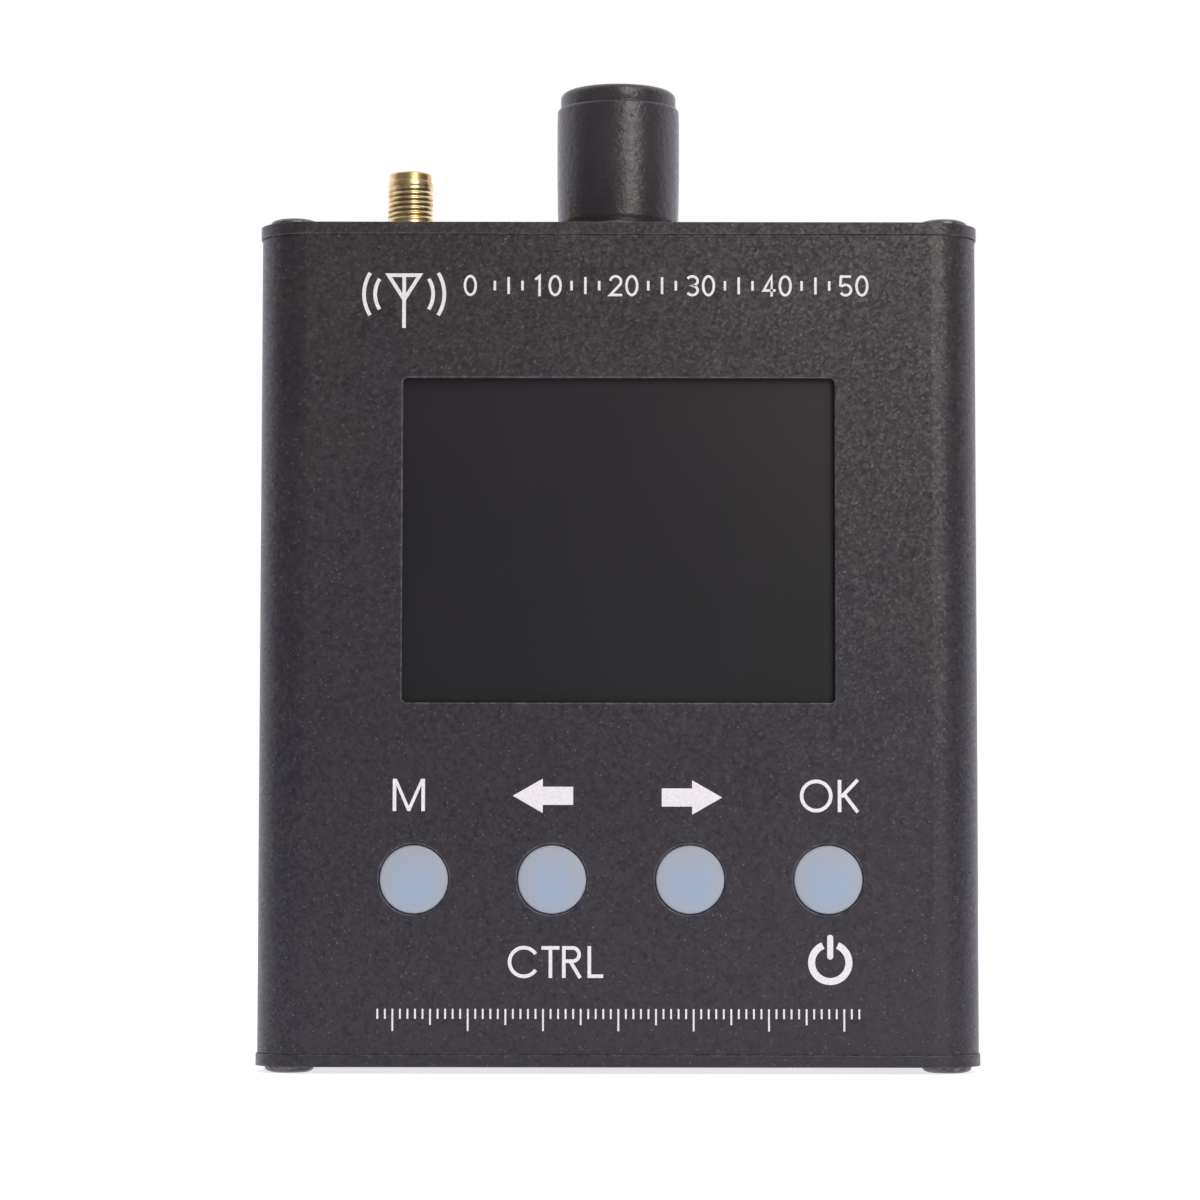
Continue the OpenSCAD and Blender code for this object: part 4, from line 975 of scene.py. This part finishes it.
large_low, large_high = [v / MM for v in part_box("n_body")]
large_top = large_high.z
large_mouth_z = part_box("n_dielectric")[1].z / MM
shank_z, neck_z = deck_z + LARGE_SHANK_LOW, deck_z + LARGE_NECK_TOP
thread_low, thread_high = neck_z + 0.3, large_top - 0.75
large_outline = ([(LARGE_BORE_R, large_low.z), (LARGE_TAIL_R, large_low.z), (LARGE_TAIL_R, shank_z),
                  (LARGE_SHANK_R - 0.3, shank_z), (LARGE_SHANK_R, shank_z + 0.3),
                  (LARGE_SHANK_R, deck_z), (LARGE_NECK_R, deck_z), (LARGE_NECK_R, neck_z)]
                 + thread_line(LARGE_R, LARGE_PITCH, thread_low, thread_high)
                 + [(LARGE_R - 0.6, large_top - 0.05), (LARGE_R - 0.7, large_top),
                    (LARGE_MOUTH_R + 0.35, large_top), (LARGE_MOUTH_R, large_top - 0.35),
                    (LARGE_MOUTH_R, large_mouth_z), (LARGE_BORE_R, large_mouth_z)])
large_mesh = turned(large_outline, (0, 0), 128,
                    vee_thread(LARGE_R, LARGE_DEPTH, LARGE_PITCH, thread_low, thread_high))
flange_z = deck_z + LARGE_FLANGE_H
add_hexagon(large_mesh, (0, 0), LARGE_FLATS, deck_z, flange_z, LARGE_NECK_R - 0.3, TURN / 12)
large_jack = finish_piece("large_jack", large_mesh, nickel_plate)
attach(large_jack, "case")
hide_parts("n_body")

# %% [markdown]
# ## The dust cap
#
# The cap is moulded in a soft black vinyl and only pushed on. It is slightly barrel shaped, with a step
# just under its rounded top, and a thin lip inside its rim reaches down to the jack's hexagon. Soft vinyl
# has a satin skin. It is never quite smooth, so the highlight breaks up into blotches, and it has a few
# nicks from use. Its outline is drawn again with more points, so that step and edges are round.

# %% Moulded vinyl
VINYL_GRAIN_MM, VINYL_CLOUD_MM, NICK_CELL_MM = 0.8, 3.5, 2.2


def moulded_vinyl():
    material, tree, mm = begin("moulded_black_vinyl")
    grain = add(tree, "TexNoise", {
        "Vector": mm, "Scale": 1 / VINYL_GRAIN_MM, "Detail": 4.0, "Roughness": 0.6})
    cloud = add(tree, "TexNoise", {"Vector": mm, "Scale": 1 / VINYL_CLOUD_MM, "Detail": 2.0})
    tone = add(tree, "Mix", {
        0: cloud.outputs["Fac"], 6: linear("#322e33"), 7: linear("#3b363a")}, data_type="RGBA")
    nick = specks(tree, mm, NICK_CELL_MM, 0, 0.8, 0.04, 0.1, 1.0)
    height = add(tree, "Math", {0: nick, 1: -2.0, 2: grain.outputs["Fac"]}, operation="MULTIPLY_ADD")
    bump = add(tree, "Bump", {"Height": height, "Strength": 0.8, "Distance": 0.12 * MM})
    rough = add(tree, "MapRange", {
        "Value": grain.outputs["Fac"], "From Min": 0.3, "From Max": 0.7, "To Min": 0.23, "To Max": 0.37})
    end(tree, {"Base Color": tone.outputs[2], "Roughness": rough, "IOR": 1.53, "Normal": bump})
    return material


vinyl = moulded_vinyl()
print(vinyl.name, "with a grain of", VINYL_GRAIN_MM, "mm")

# %% Dust cap
cap_low, cap_high = [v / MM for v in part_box("dust_cap")]
CAP_BASE_R, CAP_R, CAP_TOP_R, CAP_BORE_R = 8.4, 8.53, 8.05, 7.9875
CAP_STEP, CAP_ROUND, CAP_CEILING = 2.5, 1.0, 18.3
CAP_LIP_R, CAP_LIP_DROP = 7.6, 0.72


def through(points, steps=6):
    """Smooth line through the points (Catmull-Rom)."""
    line = []
    for i in range(len(points) - 1):
        a, b, c, d = (points[max(0, min(len(points) - 1, i + k))] for k in (-1, 0, 1, 2))
        for n in range(steps):
            t = n / steps
            line.append(tuple(0.5 * (2 * b[k] + (c[k] - a[k]) * t
                                     + (2 * a[k] - 5 * b[k] + 4 * c[k] - d[k]) * t * t
                                     + (3 * b[k] - a[k] - 3 * c[k] + d[k]) * t ** 3) for k in (0, 1)))
    return line + [points[-1]]


rim, top = cap_low.z, cap_high.z
step_z = top - CAP_STEP
side = through([(CAP_BASE_R, rim + 0.2), (CAP_BASE_R + 0.06, rim + 2.5), (CAP_R - 0.03, rim + 5),
                (CAP_R, rim + 7.5), (CAP_R, step_z - 3), (CAP_R - 0.03, step_z - 0.55)], 5)
shoulder = arc(CAP_R - 0.45, step_z - 0.5, 0.42, 0.5, 10, 80, 8) + [(CAP_TOP_R + 0.05, step_z + 0.02)]
groove_line = [(CAP_TOP_R - 0.03, step_z), (CAP_TOP_R - 0.05, step_z + 0.12), (CAP_TOP_R, step_z + 0.25)]
dome = arc(CAP_TOP_R - CAP_ROUND, top - 0.1 - CAP_ROUND, CAP_ROUND, CAP_ROUND, 0, 84, 12)
lip_z = rim - CAP_LIP_DROP
lip = [(CAP_BORE_R, rim + 1.2), (CAP_LIP_R, rim + 0.7), (CAP_LIP_R, lip_z + 0.1), (CAP_LIP_R + 0.1, lip_z),
       (CAP_BORE_R - 0.05, lip_z), (CAP_BORE_R + 0.05, lip_z + 0.1), (CAP_BASE_R - 0.1, rim - 0.05)]
ceiling_z = deck_z + CAP_CEILING
cap_outline = ([(0, ceiling_z), (CAP_BORE_R - 0.5, ceiling_z), (CAP_BORE_R, ceiling_z - 0.5)]
               + lip + side + shoulder + groove_line + dome + [(CAP_TOP_R / 2, top - 0.02), (0, top)])
dust_cap = finish_piece("vinyl_dust_cap", turned(cap_outline, (0, 0), 128), vinyl, 50)
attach(dust_cap, "dust_cap")
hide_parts("dust_cap")

# %% [markdown]
# ## The pieces inside
#
# The rest is hidden while the box is closed, but the model can be taken apart, so every piece gets the
# finish that such a piece has. Two recipes cover them. Moulded, cast or painted plastics have an even colour
# and the fine grain of the mould. Sheet and drawn metals have marks that run one way.


# %% Moulded plastics
def moulded(name, colour, shade, roughness, grain_mm, index=1.5, glow_through=0.0):
    """Plastic, paint, foam or film with a grain of this size."""
    material, tree, mm = begin(name)
    grain = add(tree, "TexNoise", {"Vector": mm, "Scale": 1 / grain_mm, "Detail": 3.0})
    tone = add(tree, "Mix", {0: grain.outputs["Fac"], 6: linear(shade), 7: linear(colour)}, data_type="RGBA")
    rough = add(tree, "MapRange", {
        "Value": grain.outputs["Fac"], "From Min": 0.3, "From Max": 0.7,
        "To Min": roughness * 0.85, "To Max": min(1.0, roughness * 1.15)})
    bump = add(tree, "Bump", {"Height": grain.outputs["Fac"], "Strength": 0.2, "Distance": 0.03 * MM})
    end(tree, {"Base Color": tone.outputs[2], "Roughness": rough, "IOR": index,
               "Normal": bump, "Transmission Weight": glow_through})
    return material


dress(moulded("closed_cell_foam", "#1a1a1a", "#0e0e0e", 0.95, 0.25), "window_gasket")
dress(moulded("display_glass", "#202126", "#1a1b1f", 0.08, 6.0, 1.52), "lcd_panel")
dress(moulded("white_backlight", "#ecebe6", "#e0dfda", 0.35, 2.0), "lcd_backlight")
dress(moulded("moulded_carrier", "#2a2c2f", "#232527", 0.6, 0.3), "lcd_carrier")
dress(moulded("polyimide_film", "#b97a2c", "#9c6422", 0.3, 1.5, 1.7), "lcd_flex", "battery_circuit")
dress(moulded("ivory_nylon", "#ebe6d8", "#ded8c8", 0.5, 0.3, 1.53), "flex_connector", "battery_plug",
      "battery_socket")
dress(moulded("black_nylon", "#1c1c1e", "#141416", 0.45, 0.25, 1.53), "menu_stem", "left_stem",
      "right_stem", "ok_stem", "switch_bases", "usb_insert")
dress(moulded("green_solder_mask", "#1f6a3c", "#17522e", 0.3, 1.2, 1.55), "main_board", "rf_board")
dress(moulded("cast_epoxy", "#1d1d1f", "#151517", 0.55, 0.2, 1.55), "main_board_chips", "rf_board_chips")
dress(moulded("foam_tape", "#dedbce", "#cfcbbd", 0.9, 0.3), "battery_tape")
dress(moulded("red_wire_insulation", "#b8241f", "#a01b17", 0.4, 0.4, 1.54), "battery_wire_red")
dress(moulded("black_wire_insulation", "#1b1b1c", "#131314", 0.4, 0.4, 1.54), "battery_wire_black")
dress(moulded("white_fluoropolymer", "#f0efea", "#e6e4dd", 0.45, 0.5, 1.35), "sma_dielectric",
      "n_dielectric")
dress(moulded("frosted_lamp_epoxy", "#e2ebdf", "#d5e0d2", 0.25, 0.6, 1.54, 0.6), "charge_led")


# %% Sheet and drawn metals
def drawn_metal(name, colour, shade, roughness, mark_mm, along):
    """Metal with marks along one axis: 0 for x, 1 for y and 2 for z."""
    material, tree, mm = begin(name)
    scale = [1 / mark_mm] * 3
    scale[along] = 0.1
    stretched = add(tree, "Mapping", {"Vector": mm, "Scale": tuple(scale)})
    marks = add(tree, "TexNoise", {"Vector": stretched, "Scale": 1.0, "Detail": 3.0})
    tone = add(tree, "Mix", {0: marks.outputs["Fac"], 6: linear(shade), 7: linear(colour)}, data_type="RGBA")
    bump = add(tree, "Bump", {"Height": marks.outputs["Fac"], "Strength": 0.15, "Distance": 0.01 * MM})
    rough = add(tree, "MapRange", {
        "Value": marks.outputs["Fac"], "From Min": 0.3, "From Max": 0.7,
        "To Min": roughness * 0.8, "To Max": roughness * 1.2})
    end(tree, {"Base Color": tone.outputs[2], "Metallic": 1.0, "Roughness": rough, "Normal": bump})
    return material


dress(drawn_metal("tinned_steel_sheet", "#c9cacc", "#b3b4b7", 0.3, 0.2, 0), "rf_shield_can", "switch_covers",
      "switch_domes", "led_leads")
dress(drawn_metal("zinc_plated_steel", "#c2c4c8", "#a9abb0", 0.28, 0.2, 1), "board_screws",
      "rf_board_screws")
dress(drawn_metal("nickel_plated_steel", "#cfd0d1", "#b9babc", 0.25, 0.2, 2), "usb_shell")
dress(drawn_metal("bare_brass", "#cdaa60", "#b08f4b", 0.3, 0.2, 1), "board_standoffs")
dress(drawn_metal("laminated_foil", "#c3c7cb", "#b1b5ba", 0.4, 1.5, 2), "battery_cell")

# %% [markdown]
# ## Last checks
#
# Nothing may be larger than the model. The size of everything that is shown now is set against the size of
# the model as it was loaded, and the growth along each axis is printed.

# %% Sizes and finish
visual_low, visual_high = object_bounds()
growth = (visual_high - visual_low) - (cad_high - cad_low)
print("grown by", [round(v / MM, 3) for v in growth], "mm")
bare = [name for name, piece in nodes.items() if not piece.hide_render
        and not any(place.material and place.material.use_nodes for place in piece.material_slots)]
print("nodes without a finish:", bare or "none")
